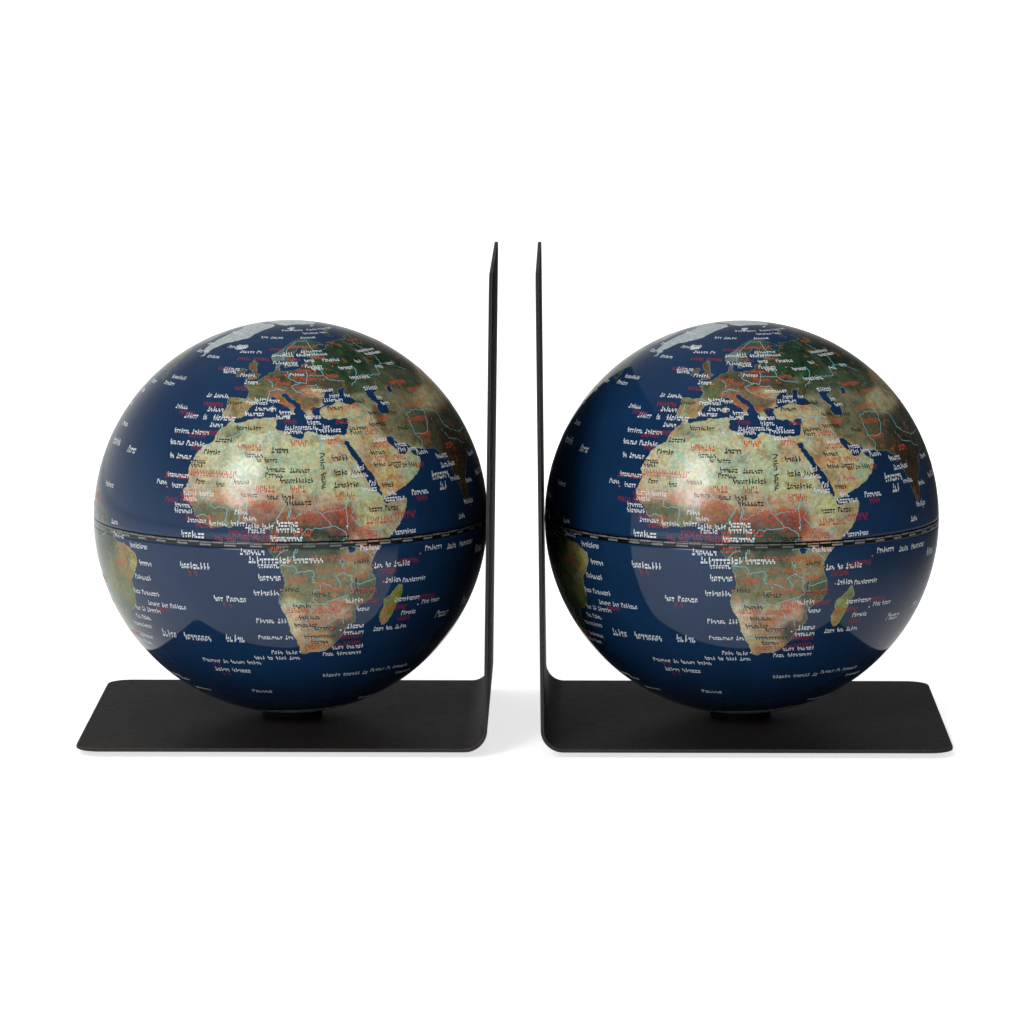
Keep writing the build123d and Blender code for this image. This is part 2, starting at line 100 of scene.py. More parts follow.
# --- the map ------------------------------------------------------------------------------------
# Outlines of land, longitude and latitude in degrees.
LAND = """
-5.9 35.8 -2.9 35.2 0 35.9 3.1 36.8 6.5 37.0 9.7 37.3 11 37 10.5 36.2 11 35.2 10.1 34.1 11.1 33.2
13.2 32.9 15.2 32.3 15.6 31.4 18 30.5 19.2 30.3 20.1 31 20 32 21.7 32.9 23.1 32.4 25.1 31.6 29 30.9
30.4 31.5 32.3 31.3 34.2 31.4 35.2 30.5 34.6 29.2 32.8 29.5 32.8 28.9 34 26.7 35.6 24 36.9 22 37.2 19.6
38.6 18 39.5 15.6 41.2 14.6 42.7 13 43.3 12.4 43.1 11.5 44.3 10.5 47 11.2 51.2 11.9 50.8 9.4 49 6.1
47.8 4.2 45.3 2 42.5 -.4 41 -2 39.6 -4.1 38.8 -6.4 39.5 -8.9 40.5 -10.5 40.6 -14.5 39.8 -16.4 37 -17.9
34.8 -19.8 35.5 -22 35.4 -23.8 32.8 -25.5 32.8 -27 31 -29.9 28.5 -32.6 27 -33.6 25.7 -34 22.2 -34.1
20 -34.8 18.4 -34.2 18.2 -32 17.2 -29.8 15.1 -26.6 14.5 -23 12.5 -18.5 11.8 -16.5 12.5 -13.5 13.7 -11.5
13.2 -8.8 12.3 -6.1 11.8 -4.7 9.6 -2.4 8.8 -.7 9.5 .5 9.7 2.5 9.7 4 8.5 4.6 7 4.4 5.5 5 4.6 6.3 1.2 6.1
-2 4.8 -4 5.3 -7.5 4.4 -9.3 5.4 -12.9 7.8 -13.6 9.5 -15 10.9 -16.7 12.4 -17.5 14.7 -16.4 16.2 -16.1 18.1
-16.5 19.4 -17.1 20.9 -16 23.7 -14.6 26 -13 27.8 -11.3 28.4 -9.7 29.8 -9.8 31.5 -8.4 33.3 -6.8 34.1 /
34.3 31.2 34.9 32.8 35.9 35.5 36.1 36.7 34.6 36.7 32.2 36.1 30.6 36.8 29.2 36.3 27.5 36.8 26.4 38.4
26.3 39.5 29 40.9 31.3 41.2 33.3 42 35.1 42 36.5 41.3 38.5 41 41.5 41.5 41.4 42.6 38.3 44.3 37.4 45.3
39.2 47.2 36.5 46.7 34.9 46.1 36.4 45.3 34 44.4 32.6 45.4 33.4 46.1 30.8 46.4 29.6 45.1 28.6 43.8
27.8 42.5 28.9 41.3 27.3 40.9 26.3 40.4 24 40.8 23.9 40.1 22.8 40.4 22.9 39.4 24 38 23.1 36.6 21.7 36.8
21.1 38.4 19.6 40.1 19.4 41.6 17.5 42.9 15.1 44.1 14.4 45.2 13.6 44.9 13.5 45.7 12.3 45.2 12.4 44.3
13.6 43.5 14.4 42.4 16.1 41.8 18.5 40.1 17 40.5 16.7 39.7 17.1 39 16.1 37.9 15.7 38.5 15.7 40 14.3 40.8
12.2 41.8 10.4 42.9 10.1 43.9 8.8 44.4 7.4 43.8 6.2 43.1 4.7 43.4 3.1 43.1 3.2 41.9 .8 40.8 -.3 39.4
.1 38.7 -.7 37.6 -2.1 36.8 -4.4 36.7 -5.6 36.1 -6.4 36.8 -8.9 37 -9.4 38.7 -8.7 41 -9.2 43.1 -8 43.7
-3.8 43.5 -1.6 43.4 -1.1 45.3 -2.4 47.3 -4.6 48.4 -1.6 48.7 -1.9 49.7 .2 49.6 1.6 50.7 4.2 52 4.9 53.1
8.4 53.8 8.2 57 10.6 57.6 10.3 56.2 9.8 55 11 54.2 14.2 54 18.5 54.7 21.1 55.6 21.6 57.4 24.2 57.1
23.6 58.8 28 59.5 30 59.9 25 60.3 21.8 60.7 21.4 62.8 25.2 65 22 65.5 20.4 63.6 17.4 62 17.2 60.7
18.6 59.4 16.6 57.9 16 56.3 14.2 55.5 12.9 55.5 11.6 58.2 10.6 59.3 8 58.1 5.6 58.9 5 61.5 10 64 13 66.3
18 69.3 24 70.9 31 70.2 41 67 40 66.2 33.5 66.7 35 64.4 38 64 40.5 64.8 41.7 66.4 44 66.2 43.5 68.5
46.5 68 53.5 68.6 60.5 69.1 67 69 68.5 72.6 73 72 73.5 68.2 80.5 73 87 75 98 76.4 104 77.7 113 75.5
112 73.8 127 72.5 140 72.4 150 71.5 161 69.5 180 69 190 66.1 181 65 177.5 62.5 170 60 163 58.3 162 56
156.8 51 155.7 56.5 161 60.8 156.5 61.5 152 59.1 143 59.3 135.5 55 141 53 140.3 48.5 132 43.2 127.6 39.8
129.3 37 129 35.3 126.5 34.4 126.6 37.5 125 39.5 121.6 39 121.5 40.8 117.8 39 119 37.3 122.5 37 119.3 35
121.9 31.5 121.5 28.5 118.6 24.6 114.2 22.4 110 21 108.2 21.6 105.8 19 109 15.2 109.2 12 106.8 10.3
104.8 8.7 105 10.4 102.4 12.2 100.8 13.2 99.3 10 100.6 7.1 103.4 4.2 103.9 1.4 101.3 2.9 98.4 8 98.6 12
97.5 16.5 94.9 15.9 92.3 20.8 91.5 22.6 87.2 21.4 82.3 16.8 80.2 15 80.2 13 79.7 10.3 77.6 8.1 76.2 10
74.5 14 72.8 19 72.6 21.7 70.7 20.8 69 22.3 70 22.9 67 24.8 61.6 25.2 57.3 25.7 56.6 27.1 52.5 27.5
50.4 29.8 48.2 30 48.5 28.2 50.1 26.5 51.3 26 51.6 24.3 54.3 24.2 56.2 26.2 56.5 24.6 59.8 22.5 57.7 19
55.2 17.3 52.2 15.6 45 12.8 43.5 12.7 42.7 15.2 40.9 19.2 39 21.6 37 25.3 34.9 28.1 35 29.6 /
-5.6 50.1 1.3 51.2 .6 51.6 1.7 52.7 .1 53 -1.6 55.6 -1.9 57.6 -4 57.7 -3.1 58.6 -5 58.6 -5.8 56.5
-4.8 54.8 -3 54 -3.1 53.4 -4.6 53.1 -4.1 52.4 -5.2 51.8 -3 51.4 /
-6.2 53.5 -6.4 52.2 -9.9 51.6 -9.9 54 -8 55.3 -5.6 54.5 / -22.6 63.8 -18.7 63.4 -13.6 65 -16.2 66.4
-20.5 65.8 -22.6 66.3 -24.2 65.4 -21.8 64.5 / 49.3 -12 50.5 -15.5 49.5 -17.5 47.7 -23 46.9 -25 45.2 -25.6
43.7 -23.6 43.4 -21.8 44.5 -19.8 44.1 -17.2 46.3 -15.7 48 -13.7 / 12.5 37.9 15.6 38.2 15.1 36.7 / 8.3 39
9.7 39.2 9.4 41.2 8.3 40.8 / 8.6 42.3 9.4 43 9.3 41.4 / 23.6 35.5 26.2 35.3 24.7 34.9 / 32.4 35.1
34.4 35.6 33.4 34.6 / 11.5 79 17 80 26 80.1 21 78.3 17 76.6 / 51.6 71.6 57.3 70.7 57.5 73.2 68 76.7
64 76.4 55.6 75 / 50 80.2 58 81.5 64 80.8 57 80 / 79.9 8.2 80.2 9.7 81.8 7.4 81 6.1 80.1 6.1 / 95.4 5.6
97.5 5.1 103.5 -.8 106 -3 105.7 -5.8 101.2 -2.9 98.6 1.8 / 105.3 -6.6 110.8 -6.4 114.4 -7.6 114.3 -8.6
108.4 -7.8 / 109.1 1.6 113 3.2 117 7 119.2 5.2 117.7 3.5 118.9 .9 116.2 -3.9 111.8 -3.4 110 -1.4 /
119.7 -5.5 119 -3 120 .8 125 1.6 121 .4 121.3 -1.5 123 -1 121.3 -3.2 123 -5.3 120.7 -3.1 120.5 -5.6 /
131 -.8 134 -.9 135 -3.3 138 -1.7 144.5 -3.8 147.8 -6.1 150.6 -10.5 146.5 -8.7 143 -9.1 138 -8.3
138.6 -6.9 133 -4 / 120.3 16 120.7 18.5 122.2 18.4 121.6 15 124 13 120.8 13.8 / 122 7.2 125.5 9.8
126.5 7.5 125.4 5.8 / 120.1 23 121.6 25.2 120.9 22 / 108.7 19.2 110.6 20.1 109.6 18.3 /
129.8 33 130.8 31.2 132 33.4 135.8 33.5 138.8 34.7 140.8 35.7 142 39.5 141.4 41.4 139.4 38.3 136.8 37.3
135.9 35.7 132.5 35.4 130.9 34.2 /
140.2 41.6 143.2 42 145.5 43.3 141.9 45.4 141.2 43.2 / 142 46 143.6 49.4 142.8 54.3 141.9 52 /
113.8 -22.6 113.6 -26 115.7 -31.7 115.1 -34.2 118 -35 123.6 -33.9 129 -31.6 134.3 -33 135.8 -34.8
137.9 -33 138.4 -35.5 140.5 -38 146.3 -39 150 -37.3 151.4 -33.7 153.5 -28.2 152.9 -25 149 -20.5
146.3 -18.9 145.4 -15 142.6 -10.8 141.6 -14 140.8 -17.4 139 -17.3 135.6 -15 136.8 -12.2 132.6 -11.4
130.5 -12.6 129.5 -14.8 126 -14.1 122.3 -18 119 -20 /
144.7 -40.8 148.2 -40.9 147.9 -43.3 146 -43.5 / 172.8 -34.6 178.4 -37.7 175.3 -41.6 174.6 -38.9
173.3 -35.5 / 172.7 -40.6 174.3 -41.7 171 -45.8 168.4 -46.6 166.5 -45.9 170.5 -43 /
-168 65.6 -162 66.2 -166 68.4 -156.6 71.3 -141 69.6 -128.5 70 -120 69.4 -108 68 -98 68 -95 71.8 -86 68
-81.5 69 -86.5 66.3 -94.5 60.5 -92.5 57 -82.3 55.2 -79.8 51.3 -79 55 -77.4 60 -78 62.3 -73.5 62.2
-69.5 59.2 -64.6 60.3 -61.5 57 -55.8 52.4 -60 50.3 -66.5 50.2 -70 47.2 -64.6 48.8 -64.6 46.2 -61.2 45.4
-65.8 43.7 -66.2 45 -70 43.7 -70.7 41.8 -74 40.6 -75.8 37.4 -75.7 35.3 -78 33.9 -81.3 31.3 -80.1 26.8
-80.5 25.2 -81.9 26.4 -82.8 28.8 -84.4 30 -89.4 30.2 -90.2 29.2 -94.7 29.4 -97.3 27.4 -97.7 22.5 -96 19.2
-94.3 18.2 -91 18.6 -90.3 21 -87 21.4 -88.2 17.8 -88.3 15.8 -83.4 15 -83.7 11 -81.4 8.9 -79.5 9.5
-77.3 8.5 -77.9 7.2 -80 7.4 -83.5 8.5 -86 11 -88 13.2 -92.5 14.6 -95 16.1 -99.8 16.8 -105.5 20.3 -106 22.8
-109.4 25.8 -113 31.1 -114.7 31.6 -111.5 26.4 -109.5 23 -112.2 25.6 -115 28 -117.2 32.7 -120.6 34.6
-122.4 37.6 -124.3 40.4 -124.1 46.2 -124.6 48.4 -122.8 49.1 -127.5 51 -130.4 54.5 -134 58 -139.5 59.7
-146 60.7 -151.5 59.3 -158.5 56 -164.5 54.8 -158 58.6 -162 58.9 -165.5 61.6 -161.5 64.3 /
-77.5 9 -75.5 10.6 -72 12 -71.5 10.9 -70 12 -68 10.6 -62 10.7 -57.5 6.3 -52 4.8 -50 1.8 -49.6 -.2
-44.3 -2.7 -40.5 -2.9 -38.5 -3.8 -35.3 -5.2 -34.9 -7.8 -37 -11 -39 -13.3 -39 -17.5 -40.9 -22 -43.2 -23
-46.5 -24.2 -48.6 -26.5 -50.2 -30.2 -53.5 -34 -58.2 -34.3 -57 -36.6 -62.2 -39 -65 -41 -63.8 -42.5
-67.4 -46.2 -65.9 -47.9 -69 -51 -68.3 -52.6 -65.3 -54.8 -70 -55 -74.5 -52 -75.4 -47 -73.8 -42 -73.5 -37.2
-71.6 -32 -70.4 -25 -70.3 -18.3 -76.3 -13.8 -79.8 -7 -81.3 -4.7 -80 -2.6 -80.6 -.9 -78.6 1.6 -77.3 4
-78 7.2 /
-73 78.2 -66 80.6 -60 82 -32 83.5 -13 81.5 -20 76 -22 72.5 -22.5 70.2 -30 68.1 -37.5 65.9 -43.5 60
-48.5 61.2 -52.3 65.3 -53.3 68.6 -54.6 72 -60 76 -68.5 76.2 /
-59.3 47.7 -52.8 46.8 -53.4 49 -55.7 51.5 / -61.6 66.7 -66 62.2 -78 64.6 -73 68 -81 69.9 -89 71.3 -81 73.7
-70 70.8 / -89 76.4 -79 76.4 -73 79 -62 82.5 -90 81.5 / -117 69.6 -105 68.8 -105 73 -117 73.4 / -125 71.5
-121 71.4 -118 74 -124 74.2 / -110 75 -98 75 -97 77 -112 77.5 / -84.9 21.9 -82.5 23.1 -74.3 20.2
-77.6 19.9 -81.5 22.1 / -74.4 18.4 -73 19.9 -68.4 18.6 -71.5 17.8 /
-200 -88 -200 -70.5 -192 -76 -160 -77.5 -145 -75.5 -125 -73.5 -100 -73 -75 -73 -68 -67 -57 -63.3 -61 -67
-62 -76 -40 -78 -25 -75 -10 -71 10 -70 35 -69 55 -66.5 85 -66.5 110 -66 130 -66 150 -68.5 165 -71 170 -72
163 -77.5 180 -78 200 -77.5 200 -88 /
-200 88 -200 82.4 -180 82.6 -150 81.6 -120 82.6 -90 83 -60 84.2 -30 84.4 -10 83 10 82.2 25 83.4 50 83
75 81.8 100 83 130 81.6 155 82.8 180 82.6 200 82 200 88
"""
# Inland water, in the same way.
LAKES = """
47 45 49 46.6 53 46.8 53 45 50.6 44.4 51.4 43 54 41 53.6 37.2 50 37.4 49 39 50 40.5 48 42.5 / 58.5 44
59.5 46.3 61.5 46.2 60.8 44.2 / 31.7 -1.6 32 .2 33.6 .5 34.4 -.3 33.4 -2.4 32.2 -2.6 / 29.2 -3.5 29.7 -3.6
31.2 -8.6 30.4 -8.2 / 34 -9.6 34.6 -9.8 35.3 -14.2 34.6 -14 / 104 51.6 106 51.8 110 55.4 109 55.2 / 74 46
79 46.8 76 46.2 / 30 60.2 32 61.4 33 60.4 / 34.5 61.2 35.6 62.8 36.3 61.2 / -92 46.8 -88 48.7 -84.6 46.7
-87.6 46.7 / -87.9 42 -87.4 45 -85 45.7 -86.3 43.4 -86.8 41.8 / -84.6 46 -80.2 45.5 -82 43.2 -83.8 44 /
-83.3 41.8 -79 42.9 -81.5 41.8 / -79.6 43.4 -76.4 43.6 -77 44.1 / -99 51 -97 50.5 -97.6 53.5 / -124 65.5
-118 66 -121 67 / -116 61.2 -109 62.8 -113 61
"""
# Printed land tints: longitude, latitude, reach east-west, reach north-south, red, green, blue.
TINTS = """
0 24 15 7 196 206 168
20 23 12 7 184 196 152
-12 20 5 5 204 184 146
-5 32.3 4 1.8 116 124 84
4 34.5 8 1.4 176 178 134
30 26 3.5 4 206 168 126
17 29 5 2.5 212 196 146
13 25.5 3 2 160 178 158
31 17 5 3.5 198 200 146
-2 14 12 1.8 206 148 120
21 12 9 2 188 150 116
9 9.6 5 2 152 100 74
-9 9 5 2.5 98 104 76
-4 7 4 1.6 124 122 84
13 5 3 2.5 84 84 64
20 7.3 6 1.6 132 92 72
18 1 5 3 62 78 66
23 -2.4 5 3 66 84 66
22 -7 5 2.4 112 120 84
30 7.4 3.6 2.4 132 82 70
39 9.6 3.2 3.4 202 204 146
46 6 4 3.5 180 168 126
38 1 2.6 2.4 196 140 112
34 -6 3.4 3.4 146 134 88
16 -12 4.4 3.4 118 122 82
26 -13.4 4.4 2.4 128 124 84
37 -15 2.6 3.6 88 98 70
15 -22 2 4.6 214 194 156
23 -22 3.6 2.6 178 140 104
23 -31 4.4 2.4 186 154 106
30.4 -27.6 1.6 2.6 80 84 70
30 -19 2.2 1.8 196 140 102
47 -19 2 5 128 146 56
45.6 -23.6 1 2 190 110 52
45 24 5.5 5 204 186 132
39.6 22 1.6 5 176 128 96
55.6 20.6 3 2.6 186 200 154
46 15.6 3.4 1.2 206 170 112
43 33 3 2.4 184 164 118
53.6 32.4 4 3 118 118 88
48.6 34 1.4 3 96 82 58
64.6 33 3.4 2.6 92 96 70
69 28 2.6 3.4 86 80 56
79 24 5 4 62 52 36
77 14.6 2.6 3.6 70 56 36
88 33 8 3.4 74 78 64
68 49 11 3 74 90 68
60 42 4.6 2.6 120 120 92
34 39 5.4 1.6 182 172 128
45 42 3 1.2 128 128 96
-4 40 3.6 2.6 158 136 90
-7 42.6 2 1 110 130 74
2 47 3.4 2.4 92 106 64
9 46.6 3.6 1 124 108 86
11 51 3.6 2.4 84 76 54
23 51 5 2.4 92 74 54
25 46 3 1.2 188 158 108
21 43 3 2 116 98 70
13 42.6 1.8 2.6 140 96 54
33 49 5.4 2.2 76 76 54
-2 53.6 3 3.6 96 84 56
9 62 3.4 4 104 124 122
16 63 3 4.6 56 76 66
26 63 4.6 3.6 58 84 64
40 57 9 4.6 36 72 48
52 62 10 4.6 30 62 42
60 63 1.6 6 66 88 66
76 61 10 6 38 60 44
105 62 18 7 50 68 46
140 65 18 6 72 88 66
103 45 8 3.4 164 144 102
85 39.4 7 2.4 190 176 130
110 31 7 5 84 104 64
124 46 6 4 74 92 54
102 15 6 6 44 70 44
112 0 14 5 46 86 50
138 36 5 4 62 92 54
132 -25 10 5 196 128 76
120 -26 5 5 188 132 82
147 -25 3.6 9 118 124 68
133 -14 7 2.4 112 118 66
172 -42 4 5 74 104 60
-100 64 24 6 108 122 92
-95 53 24 4.4 50 86 54
-85 37 8 5 72 102 56
-100 40 4.4 6 152 142 90
-113 38 5.4 5.4 170 136 90
-152 64 7 3.6 92 108 86
-103 24 3.6 4.6 176 138 86
-87 15 5.4 3.6 58 94 50
-42 74 14 9 186 200 204
-86 75 18 5 188 200 198
-62 -5 9 6 40 70 46
-40 -8 3.4 4.4 150 132 70
-36.6 -6.6 1.6 3 176 180 96
-48 -14 6 4.4 108 124 62
-51 -25 4.6 3.6 66 98 54
-75 2 2.6 6 92 98 56
-71 -15 2.6 5 168 138 98
-69.6 -24 1.8 4.6 196 166 118
-64 -34 4.4 5 144 138 84
-69 -46 3.4 4.6 158 144 104
0 -80 200 9 226 232 236
0 86 200 3.4 204 216 220
"""
# Borders and rivers, in the same way as the outlines.
LINES = """
-8.7 27.7 -4.8 25 1.2 21.1 3.3 19 4.2 19.2 5.8 19.5 12 23.5 14 23 15.9 23.4 24 19.5 24 22 31.2 22
36.8 22 /
25 22 25 31.6 / -2.2 35 -1.2 32.5 -3.5 31 -8.7 28.8 -8.7 27.7 / 9.5 30.3 9.9 26.5 12 23.5 / 8.4 36.8
8 33.4 9.5 30.3 11.5 33 / -5 25 -6.5 21 -5.6 15.5 -9.5 15.4 -12.2 14.8 / -12.2 14.8 -11.4 12.4 -8 12.2
-8 10.3 -6 10.4 -5.5 10.5 / -16.5 16.2 -14 16.6 -12.2 14.8 / -5.5 10.5 -2.8 9.8 -2.9 5.1 / -12.4 7.4
-10.4 8.3 -8.4 7.6 -7.5 4.4 / .2 14.9 2.4 12.3 .9 11 .6 6.2 / 2.8 12.3 2.7 6.4 / 4 13.5 8.5 13 13.2 13.6
14.2 12.5 13.3 10.2 11.4 6.5 8.7 4.7 / 13.6 13.6 15.5 16.9 15.9 23.4 / 14.2 12.5 15.5 10 14.4 7.6 16.3 4.2
16.2 2.2 / 15.5 10 15.2 7.5 18.9 8.9 21.7 10.6 24.2 8.7 / 22.9 15.5 21.8 12.6 22.9 11 24.2 8.7 28 9.4
30.8 9.8 33.2 12.2 34 9.5 33 7.8 35.3 5.4 36 4.4 / 24.2 8.7 27.4 5.1 23 4.7 20.6 4.4 18.6 3.5 17.8 .4
16.2 -3.4 15.2 -4.3 12.4 -5.9 / 27.4 5.1 30.8 3.6 31.3 2.2 29.7 .6 29.6 -1.4 / 36 4.4 39.5 3.6 41.9 3.9
45.5 5.6 48 8 / 41.9 3.9 41 2.8 41 -1.2 41.6 -1.7 / 34.9 9.6 36.3 14 38.4 17.9 / 36.3 14.3 40.6 14.2
42.4 12.4 / 9.8 2.3 13.3 2.2 16.2 2.2 / 13.3 2.2 14.4 -1.3 12.4 -2.3 11.2 -3.8 / 17.8 .4 16.6 -1.6
16.2 -3.4 / 12.4 -5.9 16.6 -5.9 17 -8 21.8 -7.2 21.8 -11 24 -11 24 -13 22 -13 22 -16.2 23.4 -17.6 / 24 -11
27 -12 29 -13.4 29.8 -12.2 28.4 -9.2 30.7 -8.2 33 -9.5 33.6 -14.4 30.4 -15.6 / 11.8 -17.3 14 -17.4
18.4 -17.4 23.4 -17.6 25.2 -17.8 / 25.2 -17.8 27.1 -16.6 28.8 -16 30.4 -15.6 33 -17.4 36.2 -18.8 / 21 -18
21 -22 20 -22 20 -28.4 / 20 -24.8 22.6 -25.7 25.6 -25.6 27 -23.6 29.4 -22.2 31.3 -22.4 32 -24.4 /
25.2 -17.8 27.6 -20.5 29.4 -22.2 / 16.5 -28.6 20 -28.4 24 -29 27 -30.2 / 29.6 -1.4 30.8 -1 34 -1 37.6 -3
39.2 -4.7 / 29.4 -4.4 30.8 -8.3 / 34.7 -11.6 37 -11.6 40.4 -10.5 / 31.3 30.2 31 27 32.8 24 31.4 21.6
32.5 15.6 31.6 9.6 31.8 4 / 35 29.6 37.5 30 39.2 32.2 42.4 31.4 46.5 29.1 48.4 28.6 / 38.8 33.4 41.2 34.4
42.4 37.2 / 36 36 38 36.8 42.4 37.2 44.8 37.2 44.4 39.6 41.6 41.5 / 45.4 35.8 46 33 47.8 31 / 60.8 29.8
61 34.6 61.2 36.6 66.6 37.4 71.5 36.8 / 61.6 25.2 63.2 27.2 60.8 29.8 66.2 29.6 69.4 32 71.5 36.8 / 52 19
55 20 55.2 22.7 52.6 22.9 / 43.3 17 46.4 17.2 52 19 / 42.5 47.6 45 49.4 47.6 51.6 49 53.6 48.4 55.8 /
50.6 51.6 55 51 61 51 62 54 69 55.2 77 53.6 83 51 / 66 53 70 58 69 61 66.6 66.4 / 7 43.8 7 46 10.5 46.8
13.6 46.5 / -1.8 43.4 3.1 42.4 / -7 41.9 -7.3 37.2 / 8 47.6 7.6 49 6 50.6 / 14.3 53.9 15 51 18.8 49.6
22.6 49.1 23.6 52 23.4 54.2 / 22.2 48 26.6 48.2 28.2 45.5 / 23.6 52 30.8 52 34 50 40 49.6 / 20 49.4
16.2 48 19.6 45.6 22.8 44.2 28 44 / 11.6 58.9 12.2 61.4 14 64.6 20 69 28.8 69.2 29.8 66 31 62.6 28 60.6 /
28 59 27.6 56 31 54 30.8 52 / 76 30 78 27 85 25.4 88.6 24 / 80 30.4 84 28.6 88.2 27.8 92 27.8 97 28.2 /
74 37 79 35.4 79 31 81.2 30.2 / -60 5 -60 1 -64 4 -67 1.2 -70 -4.2 -73 -7.4 -69.6 -11 -65.4 -10.4
-58.2 -17.4 -57.8 -22 / -50.2 -.4 -55 -2.2 -60 -3.2 -66 -2.8 -73.6 -3.6 / -57.8 -22 -54.4 -25.4
-57.6 -30.2 -58.4 -34 / -95.2 49 -123 49 / -117.1 32.5 -111 31.4 -106.4 31.8 -101.4 29.8 -97.2 25.9 /
-89.3 29.2 -91 33 -89.4 37.4 -91.4 42 -95.2 47.4 / -141 69.6 -141 60.3
"""
